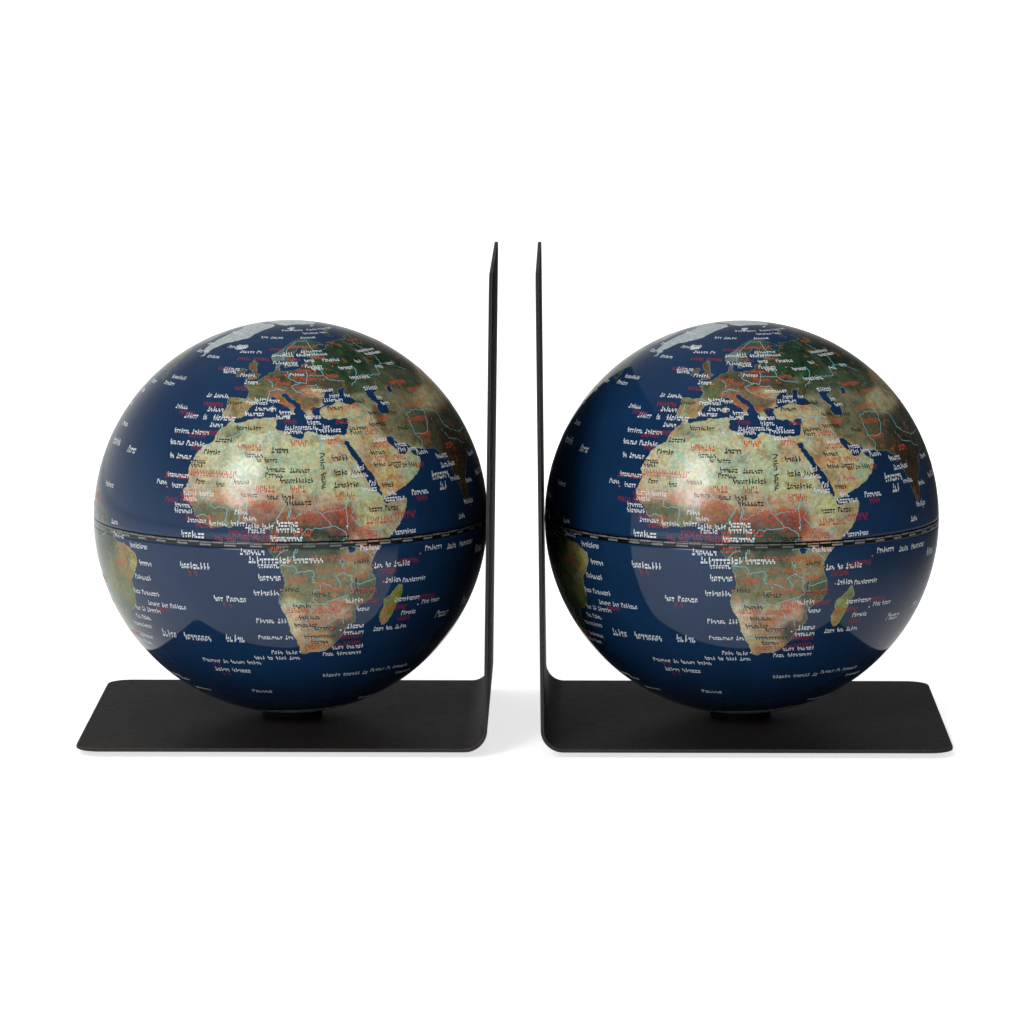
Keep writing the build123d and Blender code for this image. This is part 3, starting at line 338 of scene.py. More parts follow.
# Place names: longitude, latitude, letter height in mm, the side of the name that the point is on
# (left, right, or down for one that runs down the map; a capital for italics), word lengths.
# The marks only look like small type; they spell nothing.
WHITE_NAMES = """
9.8 1.1 1.8 l 10
8.2 -2.9 2.0 r 7
-17 1.3 2.1 l 7
15.3 -5.2 2.1 r 11
16.2 -5.2 2.1 l 8
12.2 -6.6 1.7 r 7
12.7 -10.3 2.1 r 6
12.2 -14.8 1.8 r 8
14.2 -23.6 1.7 r 6 3
16.2 -29.2 1.5 r 9 3
17.6 -34.8 1.6 r 4 4
18.6 -37 1.5 r 4 2 4 4
-17.8 -7.7 2.1 l 9
-7.8 -17 1.9 l 3 6
-33.6 -20.6 1.6 l 6 3 7
-32.6 -31 2.8 L 5
-22.6 -31 2.8 L 8
-6.6 -30.6 2.8 L 5
-18.6 -39.2 1.6 l 7 2 5 5
-15.4 -43 1.8 l 5 6
-3.4 -53.6 1.9 l 6
28 -45.2 1.7 l 6 6 2
48.5 -44.4 1.6 l 6 2 8
-46 -51 1.0 l 9
-42 -55.5 1.0 l 9 4
35.4 -2.2 1.7 l 7
39.8 -7.6 1.8 l 3 2 6
43.9 -12.2 1.7 l 6
49.8 -12.6 1.5 l 11
48 -18.4 1.6 l 11
51.6 -23 1.5 l 7
59 -20.2 1.5 l 4 5
42.6 -27.6 1.6 l 4 3 5
57.2 -4 1.7 l 8
66.6 -4.6 1.8 L 6 11
68 -26 2.6 L 6
31.8 -17.6 1.7 l 6
35.6 -20.4 1.5 l 5
33.2 -26 1.7 l 6
32.4 -28.2 1.7 l 7
29.2 -33.4 1.7 l 4 6
26.4 -35.8 1.6 l 4 9
46.4 1.6 1.6 l 9
43.6 11.2 1.7 l 8
44.8 12.8 1.5 l 4
53.4 12.2 1.8 l 7
62.4 15.8 2.8 L 7
65 12.6 2.6 L 3
67 21.6 1.8 l 6
68 18.8 1.8 l 8
71 14.6 1.5 l 7
76.4 7.2 1.7 l 7
72.6 3.4 1.7 l 4
58.8 23.6 1.5 l 6
51.6 25 1.4 l 4 5
51 26.6 1.4 l 6
43.4 28.6 1.5 l 6
35.8 20.4 1.9 L 3
33 18.6 1.7 l 7
39 15.8 1.9 L 3
36.6 14.4 1.6 l 6
-1.6 5.2 1.6 l 5
-9 5.6 1.5 r 8
-8.2 5 1.5 l 7
2 6.8 1.5 l 5
2.6 4.6 1.6 l 5 4
8.4 3.3 1.6 r 6
-.6 8.4 1.5 l 5
11.6 5.2 2.0 l 6
11.4 3.5 1.9 l 7
-13.6 8 1.5 r 8
-14.4 9.6 1.5 r 7
-17 11.6 1.5 l 6
-17.4 13.2 1.5 l 6 6
-17.6 15 1.6 r 5
-23.8 15.6 1.5 r 5
-16.2 18 1.5 r 10
-16.6 23.4 1.7 r 2 6
-13 27.4 1.7 r 6 7
-12.4 31 1.6 r 7 7
-8 33.6 1.6 r 5
-6.4 35.8 1.9 R 6 2 9
-9.4 38.5 1.7 r 6
-25 38.6 1.6 r 6
-9 43.3 1.6 r 2 6
-78 25 2.4 L 5
-63 24 2.4 L 8
-47 23 2.3 L 5
-48 48.4 1.5 l 10
-50 45.8 1.5 l 8
-43 58.4 1.6 L 2 8
-55 60 1.6 L 6 3
-30 64 1.5 l 9
-16.6 62 1.5 l 6 2
-11 70.8 1.5 l 3 5
5 76.4 1.6 l 8
38 76.6 1.4 l 5 4 4
30 73.8 1.4 l 7 3
25 70.8 1.5 l 6
-9.6 53.8 1.5 r 7
-10.4 52.6 1.5 r 6
-.6 51.4 1.5 r 6
1.6 48.7 1.6 r 5
6.6 57.2 1.4 l 10
13 56.2 1.3 l 6
4.8 60.6 1.4 l 9 6
11.4 61.6 1.4 l 4
22.4 62.6 1.4 l 9
19.4 61 1.4 l 2 10
23.4 58 1.5 l 4
33.6 58 1.5 l 7
23.2 55.4 1.4 l 7
26.2 54.4 1.4 l 5
15.4 52 1.4 l 6
40.4 54.2 1.5 l 6
43.4 50 1.5 l 9
52.4 56.6 1.4 l 3
60.4 61.2 1.4 l 12
64.4 59.4 1.4 l 11
62.4 53.4 1.4 l 4
72 54 1.4 l 5
24.4 45.9 1.4 l 9
47.6 45.6 1.6 L 7
51 42 1.5 L 3
52 40 1.4 l 4
31 43.6 1.5 L 5 3
28.6 42.2 1.4 l 8
7.8 42.2 1.4 l 4
-1.4 41.4 1.4 l 9
1.6 42.6 1.4 l 7
2.6 39.4 1.5 l 8
11.6 38.2 1.5 l 6
10.6 36.7 1.6 l 5
-1 37.6 1.6 l 7
20.6 36.6 1.6 l 6
21.4 34.8 1.6 l 5
13.6 33.2 1.7 L 13 3
13.4 32 1.5 l 7
24.2 32.2 1.6 l 9
25.4 30.2 1.6 l 5
-37.6 -3.6 1.7 l 9
-40.6 -1.6 1.7 r 7
-33.8 -8.4 1.7 l 6
-36.8 -12.8 1.7 l 8
-39.4 -17.4 1.6 l 4 9
-41.4 -23 1.6 l 3 2 7
-43.4 -26 1.6 l 3 5
-48 -29 1.6 l 12
-49.4 -33.2 1.6 l 10
-60 72 1.6 l 9
-56 64 1.5 l 4
-86 -14 1.7 l 4
-84 -33 1.7 l 8
-56 -36 1.6 l 6 5
-79 24 1.6 l 6
-72 41 1.6 l 3 4
-76 36 1.5 l 10
-66 45 1.5 l 7
-92 22 1.6 l 4 2 6
-80 14 1.8 l 9 3
-133 38 1.6 l 3 9
-130 34 1.6 l 3 7
-158 20 1.6 l 8
-150 61 1.5 l 9
-170 34 2.8 L 5
-154 33 2.8 L 7
-136 24 2.8 L 5
-150 -32 2.8 L 5
-132 -33 2.8 L 7
-112 -34 2.8 L 5
-152 -18 1.7 l 6
-176 -20 1.6 l 5
176 -16 1.6 l 4
174 -44 1.6 l 10
152 -33 1.7 l 6
146 -41 1.6 l 8
104 -32 1.7 l 5
84 -24 2.8 L 5
84 -8 2.6 L 6
118 -11 1.5 l 6
98 -8 1.6 l 7
122 13 1.6 l 6
112 16 1.6 l 5 5 3
123 30 1.6 l 8
142 36 1.6 l 5
116 41 1.6 l 7
131 42 1.5 l 11
150 52 1.6 l 9 3
146 14 1.6 l 4
160 4 1.6 l 10
90 14 1.8 l 3 2 6
88 20 1.5 l 8
80 13 1.5 l 6
103 10 1.5 l 7
-102 -22 1.6 l 6 6
-130 -24 1.6 l 8
-62 30 1.6 l 7
-56 12 1.6 l 8
-48 2 1.6 l 5
-72 -52 1.5 l 5 5
-58 -50 1.6 l 8 2
66 -48 1.6 l 9
98 -50 1.6 l 8
60 -62 1.6 l 8 5
"""
RED_NAMES = """
-1.4 26.8 2.0 l 7
15.6 28.2 2.0 l 5
27.6 28.6 1.8 l 5
-16 18.8 2.0 l 10
-5.4 18.6 2.2 l 4
5.4 14.8 2.2 l 5
15.4 14.8 2.2 l 4
28.6 12.4 2.2 l 5
3.6 10.4 2.1 l 7
37.4 5.2 2.1 l 8
46.6 6 2.1 l 7
18.6 8.6 1.7 l 7 7
20 6.8 1.7 l 8
28.8 8.4 1.8 l 5
30 6.6 1.8 l 5
12.6 7 1.5 l 8
-2.2 2.4 1.7 l 10 6
-6.4 .9 1.7 l 3 4 3 8
16 2.6 1.6 l 7
9.8 -2 1.6 l 5
34 3.2 1.5 l 6
37 1.6 1.5 l 5
14.8 -10.8 1.8 l 6
22.8 -8 1.6 l 4 7
22.6 -11.6 1.7 l 6
31.6 -5 1.7 l 8
21.4 -4.6 1.7 l 2 2 6
33.4 -10 1.5 l 6
32.6 -14.8 1.7 l 10
24 -13.8 1.7 l 8
43.8 -21.2 1.7 l 10
14.4 -20.2 1.8 l 7
22.6 -20.6 1.7 l 8
26.8 -18.4 1.7 l 8
20 -33 1.8 l 5 6
31.4 -29.6 1.5 l 9
33 -32 1.5 l 7
36 -18 1.5 l 8
47 -7 1.6 l 10
41.6 -9.4 1.6 l 7
56.6 -18.8 1.6 l 9
50.6 -24.8 1.5 l 6
-15.2 -9.6 1.9 l 1 1
-5 -18.9 1.7 l 1 1
-15 -41 1.6 l 1 1
-13 -45 1.6 l 1 1
-30.4 -22 1.6 l 6
42.6 22.8 1.7 l 5 6
42.8 27 1.7 l 7
46.6 17.2 1.6 l 5
57 19.8 1.6 l 4
41 31 1.6 l 6
55 10.4 1.6 l 5
-25 17.6 1.6 l 4 5
-18.4 12.6 1.5 l 6
-23.4 10.8 1.5 l 6 6
-15.8 6.4 1.5 l 6 5
-12.4 4.2 1.7 l 7
-15.4 31 1.6 l 7
-20 30 1.4 l 8
-17.6 26.2 1.4 l 5
-28 36.8 1.4 l 8
-18.8 40.2 1.6 l 8
-22 53.8 1.4 l 7
-15 58.6 1.4 l 6 7
2 63.6 1.4 l 6
14 65 1.4 l 6
24 65 1.4 l 7
27 59.2 1.3 l 7
14 58.6 1.3 l 6
-8 46.4 1.4 l 6
4 50 1.3 l 7
9 48.6 1.3 l 7
19 53.6 1.3 l 6
20 50.2 1.3 l 7
31 51.2 1.3 l 7
17 47.2 1.3 l 7
20 44 1.3 l 6
6 44.4 1.3 l 6
13 40.6 1.3 l 5
20 39.6 1.3 l 6
13.6 35.2 1.4 l 5
31.4 34.8 1.4 l 6
36 39.6 1.5 l 6
48.4 34.6 1.5 l 4
60 33.6 1.5 l 11
62 28.6 1.5 l 8
70 43.4 1.4 l 10
62 46.6 1.5 l 10
62 38.4 1.4 l 12
66 67 1.5 l 6
74 24 1.8 l 5
-48 -9.6 2.2 l 6
-60 -34 2.0 l 9
-66 -17 1.8 l 7
-76 -9 1.8 l 4
-75 4 1.8 l 8
-67 7 1.8 l 9
-112 57 2.6 l 6
-108 40 2.4 l 6 6
-106 25 2.0 l 6
100 35 2.4 l 5
99 47 1.8 l 8
100 62 2.6 l 6
122 -25 2.6 l 9
106 2 1.8 l 9
98 16 1.6 l 8
"""
BLACK_NAMES = """
-3 33 1.6 l 9
-9.4 29 1.7 l 6
-12.6 25.2 1.7 l 6
1.4 24.8 1.7 l 6
9.6 26.2 1.9 l 5
5 23.4 1.5 l 2 5
8.4 20.6 1.7 l 6
8 19 1.7 l 6
15.4 20.4 1.6 l 7
12.4 17.4 1.7 l 11
28.4 23.6 1.9 l 5
28.8 19.4 1.9 l 4 5
28.4 15.8 1.8 l 8
-1.4 17 1.5 l 6
-6.8 16 1.7 l 3
-13.6 16.6 1.5 l 4
1.2 13.4 1.5 l 6
8.6 12.8 1.7 l 4 4
14 11.2 1.8 l 8
-17 22.4 1.5 l 7
-17 21.2 1.5 l 6
41.4 24.8 1.5 l 6
41.8 21.2 1.5 l 5 6
48.6 20.4 1.5 l 3 2 4
43.4 15.2 1.5 l 5
38.4 8.6 1.7 l 5 5
26.2 1.2 1.7 l 7
33.6 -5.8 1.5 l 6
21.6 -15.2 1.7 l 6
16 -18.8 1.7 l 6
17.8 -22.4 1.5 l 8
16.4 -25 1.6 l 8
22.6 -26.2 1.6 l 8
19.6 -29 1.5 l 12
22 -31 1.6 l 6
12.8 -13.6 1.6 l 6
34 -14.8 1.5 l 8
-9 41.2 1.5 l 6
29.4 39.4 1.5 l 6
38 41.2 1.5 l 7
43.6 33.4 1.5 l 7
35.8 32.6 1.4 l 8
36 31.2 1.4 l 5
44.6 37.2 1.4 l 5
52 36.6 1.4 l 6
54.6 31.4 1.4 l 5
24.6 26 1.6 d 6 6
76 28.6 1.6 l 5
90 30 1.6 l 5
106 48 1.5 l 5
128 -24 1.7 l 5 7
-106 36 1.5 l 6
-60 -3 1.5 l 6
-104 50 1.5 l 8
-66 -24 1.5 l 5
"""
# Towns: longitude, latitude.
RED_TOWNS = """
18.6 4.4  9.5 .4  11.5 3.9  13.3 -8.8  15.3 -4.2  32.5 15.6  24 -13.8  12.5 -13  32.7 .4  36.9 -1.3
39.2 -6.6  43.2 -11.8  55.4 -4.6  47.5 -18.9  32.6 -25.9  28.3 -15.4  -17.3 14.6  -7.4 33.6  3 36.7
10.2 36.8  23.7 38  31.3 30.1  35.2 31.8  44.4 33.3  46.7 24.7  54.4 24.4  -.4 51.5  2.3 48.9  13.4 52.5
21 52.2  30.5 50.4  37.6 55.8  26 44.4  12.5 41.9  -3.7 40.4  73 33.6  77.2 28.6  -10.8 6.4  2.6 6.4
-23.6 15  39.3 8.6  17 -22.4  28.2 -25.8  49.9 40.4  24.1 57  27.6 53.9  -74 40.7  -99.1 19.4  -77 -12
-58.4 -34.6  116.4 39.9  139.7 35.7  151.2 -33.9  -43.2 -22.9  100.5 13.8  106.8 -6.2
"""
WHITE_TOWNS = """
31.6 4.9  57.5 -20.2  31.2 -26.4  47.6 46.6  8.6 32.6  -1 28.6  45.3 2  18.4 -33.8
"""


def directions(lon, lat):
    """Unit vectors in the globe's own frame, with longitude 0 to the front."""
    a, b = np.radians(lon), np.radians(lat)
    return np.stack([np.sin(a) * np.cos(b), -np.cos(a) * np.cos(b), np.sin(b)], -1)


def longitude_latitude(points, heading):
    """Longitude and latitude in degrees of points given from a globe's centre."""
    lon = np.degrees(np.arctan2(points[:, 0], -points[:, 1])) + heading
    lat = np.degrees(np.arcsin(np.clip(points[:, 2] / np.linalg.norm(points, axis=1), -1, 1)))
    return lon, lat


def finer(points, step, closed):
    """The same line with points at most step degrees apart, by straight steps in longitude and
    latitude."""
    ends = np.vstack([points, points[:1]]) if closed else points
    out = []
    for a, b in zip(ends[:-1], ends[1:]):
        count = max(1, int(np.ceil(np.abs(b - a).max() / step)))
        out.append(a + (b - a) * (np.arange(count) / count)[:, None])
    if not closed:
        out.append(ends[-1:])
    return np.vstack(out)


def inside(points, lon, lat):
    """True where an even-odd count of edges crossed, going east from the place, is odd."""
    hit = np.zeros(lon.shape, bool)
    for (x0, y0), (x1, y1) in zip(points, np.roll(points, -1, 0)):
        if y0 == y1:
            continue
        crosses = (y0 > lat) != (y1 > lat)
        hit ^= crosses & (lon < (x1 - x0) * (lat - y0) / (y1 - y0) + x0)
    return hit


def chord_distance(places, line):
    """Least straight distance from each place on the unit sphere to a closed line's short chords."""
    starts = directions(line[:, 0], line[:, 1])
    best = np.full(len(places), 9.0)
    for a, d in zip(starts, np.roll(starts, -1, 0) - starts):
        size = d @ d
        if size < 1e-14:
            continue
        along = np.clip((places - a) @ d / size, 0, 1)
        gap = places - a - along[:, None] * d
        best = np.minimum(best, np.einsum("ij,ij->i", gap, gap))
    return np.sqrt(best)


def shore_distance(points, lon, lat):
    """Distance to a closed outline in mm, positive inside and no more than SHORE_REACH. Only the
    places near the outline's box are worked out, at each turn of the longitude."""
    found = np.full(lon.shape, -SHORE_REACH)
    line = finer(points, SHORE_STEP, True)
    low, high = points.min(0), points.max(0)
    margin = np.degrees(SHORE_REACH / MAP_RADIUS)
    shrink = max(0.05, np.cos(np.radians(min(88, max(abs(low[1]), abs(high[1]))))))
    for turn in (-360, 0, 360):
        here = lon + turn
        near = (here > low[0] - margin / shrink) & (here < high[0] + margin / shrink)
        near &= (lat > low[1] - margin) & (lat < high[1] + margin)
        if not near.any():
            continue
        away = chord_distance(directions(here[near], lat[near]), line) * MAP_RADIUS
        away = np.minimum(away, SHORE_REACH)
        signed = np.where(inside(points, here[near], lat[near]), away, -away)
        found[near] = np.maximum(found[near], signed)
    return found


def linear(rgb):
    """Screen colour 0-255 to scene-linear 0-1."""
    c = np.asarray(rgb, float) / 255
    return np.where(c <= 0.04045, c / 12.92, ((c + 0.055) / 1.055) ** 2.4)


def land_tint(lon, lat):
    """Weighted mean of the printed tints, each one's weight a bell curve round its place."""
    total = np.zeros(lon.shape + (3,))
    weights = np.full(lon.shape, 1e-9)
    for x, y, east, north, *rgb in numbers(TINTS, 7):
        dx = (lon - x + 180) % 360 - 180
        w = np.exp(-np.minimum((dx / east) ** 2 + ((lat - y) / north) ** 2, TINT_CUT))
        total += w[..., None] * linear(rgb)
        weights += w
    return total / weights[..., None]


def map_values(lon, lat):
    """Signed shore distance, the greatest over the lands less the lakes, and the printed tint.
    Over the poles' ice the distance grows with latitude."""
    ice = np.radians(np.abs(lat) - ICE_LATITUDE) * MAP_RADIUS
    shore = np.clip(ice, -SHORE_REACH, SHORE_REACH)
    for points in outlines(LAND):
        shore = np.maximum(shore, shore_distance(points, lon, lat))
    for points in outlines(LAKES):
        shore = np.minimum(shore, -shore_distance(points, lon, lat))
    return shore, land_tint(lon, lat)


# --- meshes -------------------------------------------------------------------------------------
def mesh_piece(name, points, faces, smooth=True):
    """A mesh object from arrays of points (in metres) and of faces, all with as many corners."""
    mesh = bpy.data.meshes.new(name)
    faces = np.asarray(faces, np.int32)
    count, corners = faces.shape
    mesh.vertices.add(len(points))
    mesh.vertices.foreach_set("co", np.asarray(points, np.float32).ravel())
    mesh.loops.add(count * corners)
    mesh.loops.foreach_set("vertex_index", faces.ravel())
    mesh.polygons.add(count)
    mesh.polygons.foreach_set("loop_start", np.arange(0, count * corners, corners, dtype=np.int32))
    mesh.polygons.foreach_set("use_smooth", np.full(count, smooth))
    mesh.update(calc_edges=True)
    mesh.validate()
    piece = bpy.data.objects.new(name, mesh)
    bpy.context.scene.collection.objects.link(piece)
    return piece


def give_attribute(piece, name, values):
    """Stores one number, or one colour, for each point of the piece."""
    if values.ndim == 1:
        attribute = piece.data.attributes.new(name, "FLOAT", "POINT")
        attribute.data.foreach_set("value", values.astype(np.float32))
    else:
        attribute = piece.data.attributes.new(name, "FLOAT_COLOR", "POINT")
        rgba = np.concatenate([values, np.ones((len(values), 1))], 1)
        attribute.data.foreach_set("color", rgba.astype(np.float32).ravel())


class Globe:
    """Place and size of one globe, read from the frame."""

    def __init__(self, side):
        low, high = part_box(f"{side}_north_hemisphere")
        tape_low, tape_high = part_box(f"{side}_equator_tape")
        self.side = side
        self.body = f"{side}_globe"
        self.radius = (high.z - low.z) / MM
        self.centre = np.array([(low.x + high.x) / 2, 0.0, (tape_low.z + tape_high.z) / 2])
        self.heading = HEADING[side]
        self.ink_top = self.radius - INK_BELOW
        self.ink_foot = self.radius - PRINT_DEPTH - INK_SINK

    def near(self, lon, lat, east, north, on_top):
        """Points in metres that lie some mm east and north of each place, at the ink's top or
        foot."""
        north_by = np.degrees(north / self.radius)
        east_by = np.degrees(east / self.radius) / np.cos(np.radians(lat))[:, None]
        out = directions(lon[:, None] + east_by - self.heading, lat[:, None] + north_by)
        radius = np.where(on_top, self.ink_top, self.ink_foot)
        return (self.centre + out * radius[:, None] * MM).reshape(-1, 3)


def turned_shell(globe, name, profile, closes):
    """A profile of (radius, height) rows in mm carried round the globe's axis in COLUMNS steps.
    A profile that closes is a ring; one that doesn't starts and ends on the axis."""
    profile = np.asarray(profile, float)
    lon = np.arange(COLUMNS) * 360 / COLUMNS
    around = directions(lon - globe.heading, 0.0 * lon)
    body = profile if closes else profile[1:-1]
    rows = len(body)
    grid = around[None, :, :] * body[:, 0, None, None]
    grid[..., 2] = body[:, 1, None]
    points = grid.reshape(-1, 3)
    bands = np.arange(rows if closes else rows - 1)
    i, j = (part.ravel() for part in np.meshgrid(bands, np.arange(COLUMNS), indexing="ij"))
    up, on = (i + 1) % rows * COLUMNS, (j + 1) % COLUMNS
    quads = np.stack([i * COLUMNS + j, i * COLUMNS + on, up + on, up + j], 1)
    faces = [quads[:, [0, 1, 2]], quads[:, [0, 2, 3]]]
    if not closes:
        first = len(points)
        points = np.vstack([points, [[0, 0, profile[0, 1]], [0, 0, profile[-1, 1]]]])
        j = np.arange(COLUMNS)
        on = (j + 1) % COLUMNS
        end = (rows - 1) * COLUMNS
        faces.append(np.stack([np.full(COLUMNS, first), on, j], 1))
        faces.append(np.stack([np.full(COLUMNS, first + 1), end + j, end + on], 1))
    return mesh_piece(name, globe.centre + points * MM, np.vstack(faces)), points


def arc(radius, start, stop, rows):
    """Rows of (radius, height) along a circle about the centre, from one latitude to another."""
    lat = np.radians(np.linspace(start, stop, rows))
    return [(radius * math.cos(a), radius * math.sin(a)) for a in lat]


def shell_profile(radius, half):
    """Section of half the globe's shell. North: up the outside to the pole and back down the
    inside. South: a ring that goes round the hole, its flat seat and its boss."""
    inner = radius - SHELL_THICKNESS
    outer = radius - PRINT_DEPTH
    edge = TAPE_HALF_WIDTH + TAPE_GAP
    rim = [(radius - TAPE_RECESS, 0.0), (radius - TAPE_RECESS, edge)]
    start = math.degrees(math.asin(edge / outer))
    if half == "north":
        return arc(inner, 90, 0, INNER_ROWS) + rim + arc(outer, start, 90, ROWS)
    seat_lat = math.degrees(math.acos(SEAT_RADIUS / outer))
    seat_z = math.sqrt(outer**2 - SEAT_RADIUS**2)
    boss_z = seat_z - POLE_BOSS_HEIGHT
    boss_lat = math.degrees(math.acos(POLE_BOSS_RADIUS / inner))
    section = rim + arc(outer, start, seat_lat, ROWS)
    section += [(POLE_HOLE_RADIUS, seat_z), (POLE_HOLE_RADIUS, boss_z), (POLE_BOSS_RADIUS, boss_z)]
    section += arc(inner, boss_lat, 0, INNER_ROWS)
    return [(r, -z) for r, z in section][::-1]


BOX_FACES = np.array([[0, 2, 3, 1], [4, 5, 7, 6], [0, 1, 5, 4], [2, 6, 7, 3], [0, 4, 6, 2], [1, 3, 7, 5]])


def printed_boxes(globe, name, lon, lat, boxes):
    """Thin closed boxes of ink. Each row of boxes is left, right, low, high and slant in mm from
    its own (longitude, latitude), laid on the sphere along the parallel and the meridian."""
    left, right, low, high, slant = (part[:, None] for part in np.asarray(boxes, float).T)
    corner = np.arange(8)
    north = low + (high - low) * (corner // 2 % 2)
    east = left + (right - left) * (corner % 2) + slant * north
    points = globe.near(lon, lat, east, north, corner // 4)
    faces = (np.arange(len(lon))[:, None, None] * 8 + BOX_FACES).reshape(-1, 4)
    return mesh_piece(name, points, faces, smooth=False)


# Marks that stand in for small type: left, right, low, high, in shares of a mark's width and height.
SMALL_MARKS = [
    [(0, .3, 0, .72), (.48, 1, 0, .3)],
    [(0, .52, .42, .72), (.7, 1, 0, .72)],
    [(0, 1, .44, .72), (.34, .66, 0, .3)],
    [(0, 1, 0, .26), (0, 1, .46, .72)],
    [(0, .42, .3, .72), (.58, 1, 0, .42)],
    [(.3, .62, 0, 1), (.76, 1, .22, .5)],
    [(0, .36, 0, .44), (.2, 1, .5, .72), (.66, 1, .1, .36)],
]
TALL_MARKS = [
    [(0, .3, 0, 1), (.48, 1, .62, 1)],
    [(0, 1, 0, .3), (.32, .66, .46, 1)],
    [(0, .42, .4, 1), (.58, 1, 0, .62)],
    [(0, .3, .3, 1), (.44, 1, 0, .2), (.6, 1, .36, .66)],
]


def name_strokes(text, all_tall, bolder, rng):
    """Strokes of every name in one ink: marks stand side by side from the name's point, and a
    word is parted from the next by a gap. A name that runs down the map is turned by a quarter."""
    lon, lat, boxes = [], [], []
    for row in text.strip().splitlines():
        x, y, height, side, *words = row.split()
        height = float(height) * NAME_SCALE
        words = [int(word) for word in words]
        share, slant, word_gap = ITALIC_TYPE if side.isupper() else UPRIGHT_TYPE
        width = height * share
        step = width + height * MARK_GAP
        at = -step * (sum(words) + len(words) - 1) if side in "rR" else 0.0
        for word in words:
            for k in range(word):
                marks = TALL_MARKS if all_tall or k == 0 else SMALL_MARKS
                for a, b, c, d in marks[rng.integers(len(marks))]:
                    left, right = at + (a - bolder) * width, at + (b + bolder) * width
                    box = (left, right, c * height, d * height)
                    if side == "d":
                        box = (box[2], box[3], -right, -left)
                    lon.append(float(x))
                    lat.append(float(y))
                    boxes.append((*box, slant))
                at += step
            at += step * word_gap
    return np.array(lon), np.array(lat), boxes


def drawn_lines(globe, name, lines, rng):
    """Ribbons of ink: a four-cornered section carried along each line, which wanders to and fro
    by a seeded amount."""
    low, high = globe.ink_foot, globe.ink_top - BORDER_DROP
    corner = np.arange(4)
    after = (corner + 1) % 4
    points, faces, base = [], [], 0
    for line in lines:
        path = finer(line, BORDER_STEP, False)
        drift = rng.normal(0, BORDER_WANDER, path.shape)
        drift[[0, -1]] = 0
        path = path + drift
        centre = directions(path[:, 0] - globe.heading, path[:, 1])
        across = np.cross(centre, np.gradient(centre, axis=0))
        across *= BORDER_WIDTH / 2 / globe.radius / np.linalg.norm(across, axis=1)[:, None]
        one, other = centre - across, centre + across
        points += [np.stack([one * low, other * low, other * high, one * high], 1).reshape(-1, 3)]
        here = base + np.arange(len(path) - 1)[:, None] * 4
        there = here + 4
        sides = np.stack([here + corner, here + after, there + after, there + corner], -1)
        base += len(path) * 4
        faces += [sides.reshape(-1, 4), here[:1] + corner[::-1], base - 4 + corner[None, :]]
    return mesh_piece(name, globe.centre + np.vstack(points) * MM, np.vstack(faces), smooth=False)


def town_dots(globe, name, places):
    """Flat round dots: an eight-sided prism at each town."""
    k = np.arange(8)
    after = (k + 1) % 8
    turn = np.tile(k * math.pi / 4, 2)
    east, north = TOWN_RADIUS * np.cos(turn), TOWN_RADIUS * np.sin(turn)
    points = globe.near(places[:, 0], places[:, 1], east, north, np.repeat([0, 1], 8))
    fan = np.array([[0, 1, 2, 3], [0, 3, 4, 5], [0, 5, 6, 7]])
    prism = np.vstack([np.stack([k, after, after + 8, k + 8], 1), fan[:, ::-1], fan + 8])
    faces = (np.arange(len(places))[:, None, None] * 16 + prism).reshape(-1, 4)
    return mesh_piece(name, points, faces, smooth=False)


# --- materials ----------------------------------------------------------------------------------
def ink(*rgb):
    """Screen colour 0-255 as a shader colour."""
    return (*[float(v) for v in linear(rgb)], 1.0)


class Nodes:
    """A node tree, with short calls for what the finishes and the lights here use."""

    def __init__(self, tree):
        self.tree = tree

    def give(self, socket, value):
        """Links another node's output to the socket, or stores a plain value in it."""
        if isinstance(value, bpy.types.NodeSocket):
            self.tree.links.new(value, socket)
        else:
            socket.default_value = value

    def fill(self, node, inputs):
        """Gives each named input its value; a name that is no input's is a property's."""
        for key, value in inputs.items():
            socket = node.inputs.get(key.replace("_", " "))
            if socket is None:
                setattr(node, key, value)
            else:
                self.give(socket, value)

    def add(self, kind, **inputs):
        node = self.tree.nodes.new(kind)
        self.fill(node, inputs)
        return node

    def place(self):
        return self.add("ShaderNodeTexCoord").outputs["Object"]

    def noise(self, scale, detail=3.0, rough=0.5):
        """Noise over the object, scale cells to a metre, as numbers round a half."""
        node = self.add("ShaderNodeTexNoise", Vector=self.place())
        self.fill(node, {"Scale": scale, "Detail": detail, "Roughness": rough})
        return node.outputs["Fac"]

    def math(self, operation, *values):
        node = self.add("ShaderNodeMath", operation=operation)
        for socket, value in zip(node.inputs, values):
            self.give(socket, value)
        return node.outputs[0]

    def spread(self, value, low, high, to_low=0.0, to_high=1.0):
        """Eases from to_low to to_high as the value goes from low to high."""
        node = self.add("ShaderNodeMapRange", interpolation_type="SMOOTHSTEP")
        for socket, number in zip(node.inputs, (value, low, high, to_low, to_high)):
            self.give(socket, number)
        return node.outputs[0]

    def mix(self, amount, a, b, blend="MIX"):
        node = self.add("ShaderNodeMix", data_type="RGBA", blend_type=blend)
        for k, value in ((0, amount), (6, a), (7, b)):
            self.give(node.inputs[k], value)
        return node.outputs[2]

    def either(self, choice, no, yes):
        """One number or the other, by a choice of 0 or 1."""
        return self.math("MULTIPLY_ADD", choice, self.math("SUBTRACT", yes, no), no)

    def edges(self, radius):
        """How far the surface turns within the radius: nought on a flat face, more at an edge."""
        rounded = self.add("ShaderNodeBevel", Radius=radius, samples=6)
        facing = self.add("ShaderNodeVectorMath", operation="DOT_PRODUCT")
        self.give(facing.inputs[0], rounded.outputs[0])
        self.give(facing.inputs[1], self.add("ShaderNodeNewGeometry").outputs["Normal"])
        return self.math("SUBTRACT", 1.0, facing.outputs["Value"])

    def bump(self, height, strength, distance):
        return self.add("ShaderNodeBump", Height=height, Strength=strength, Distance=distance).outputs[0]


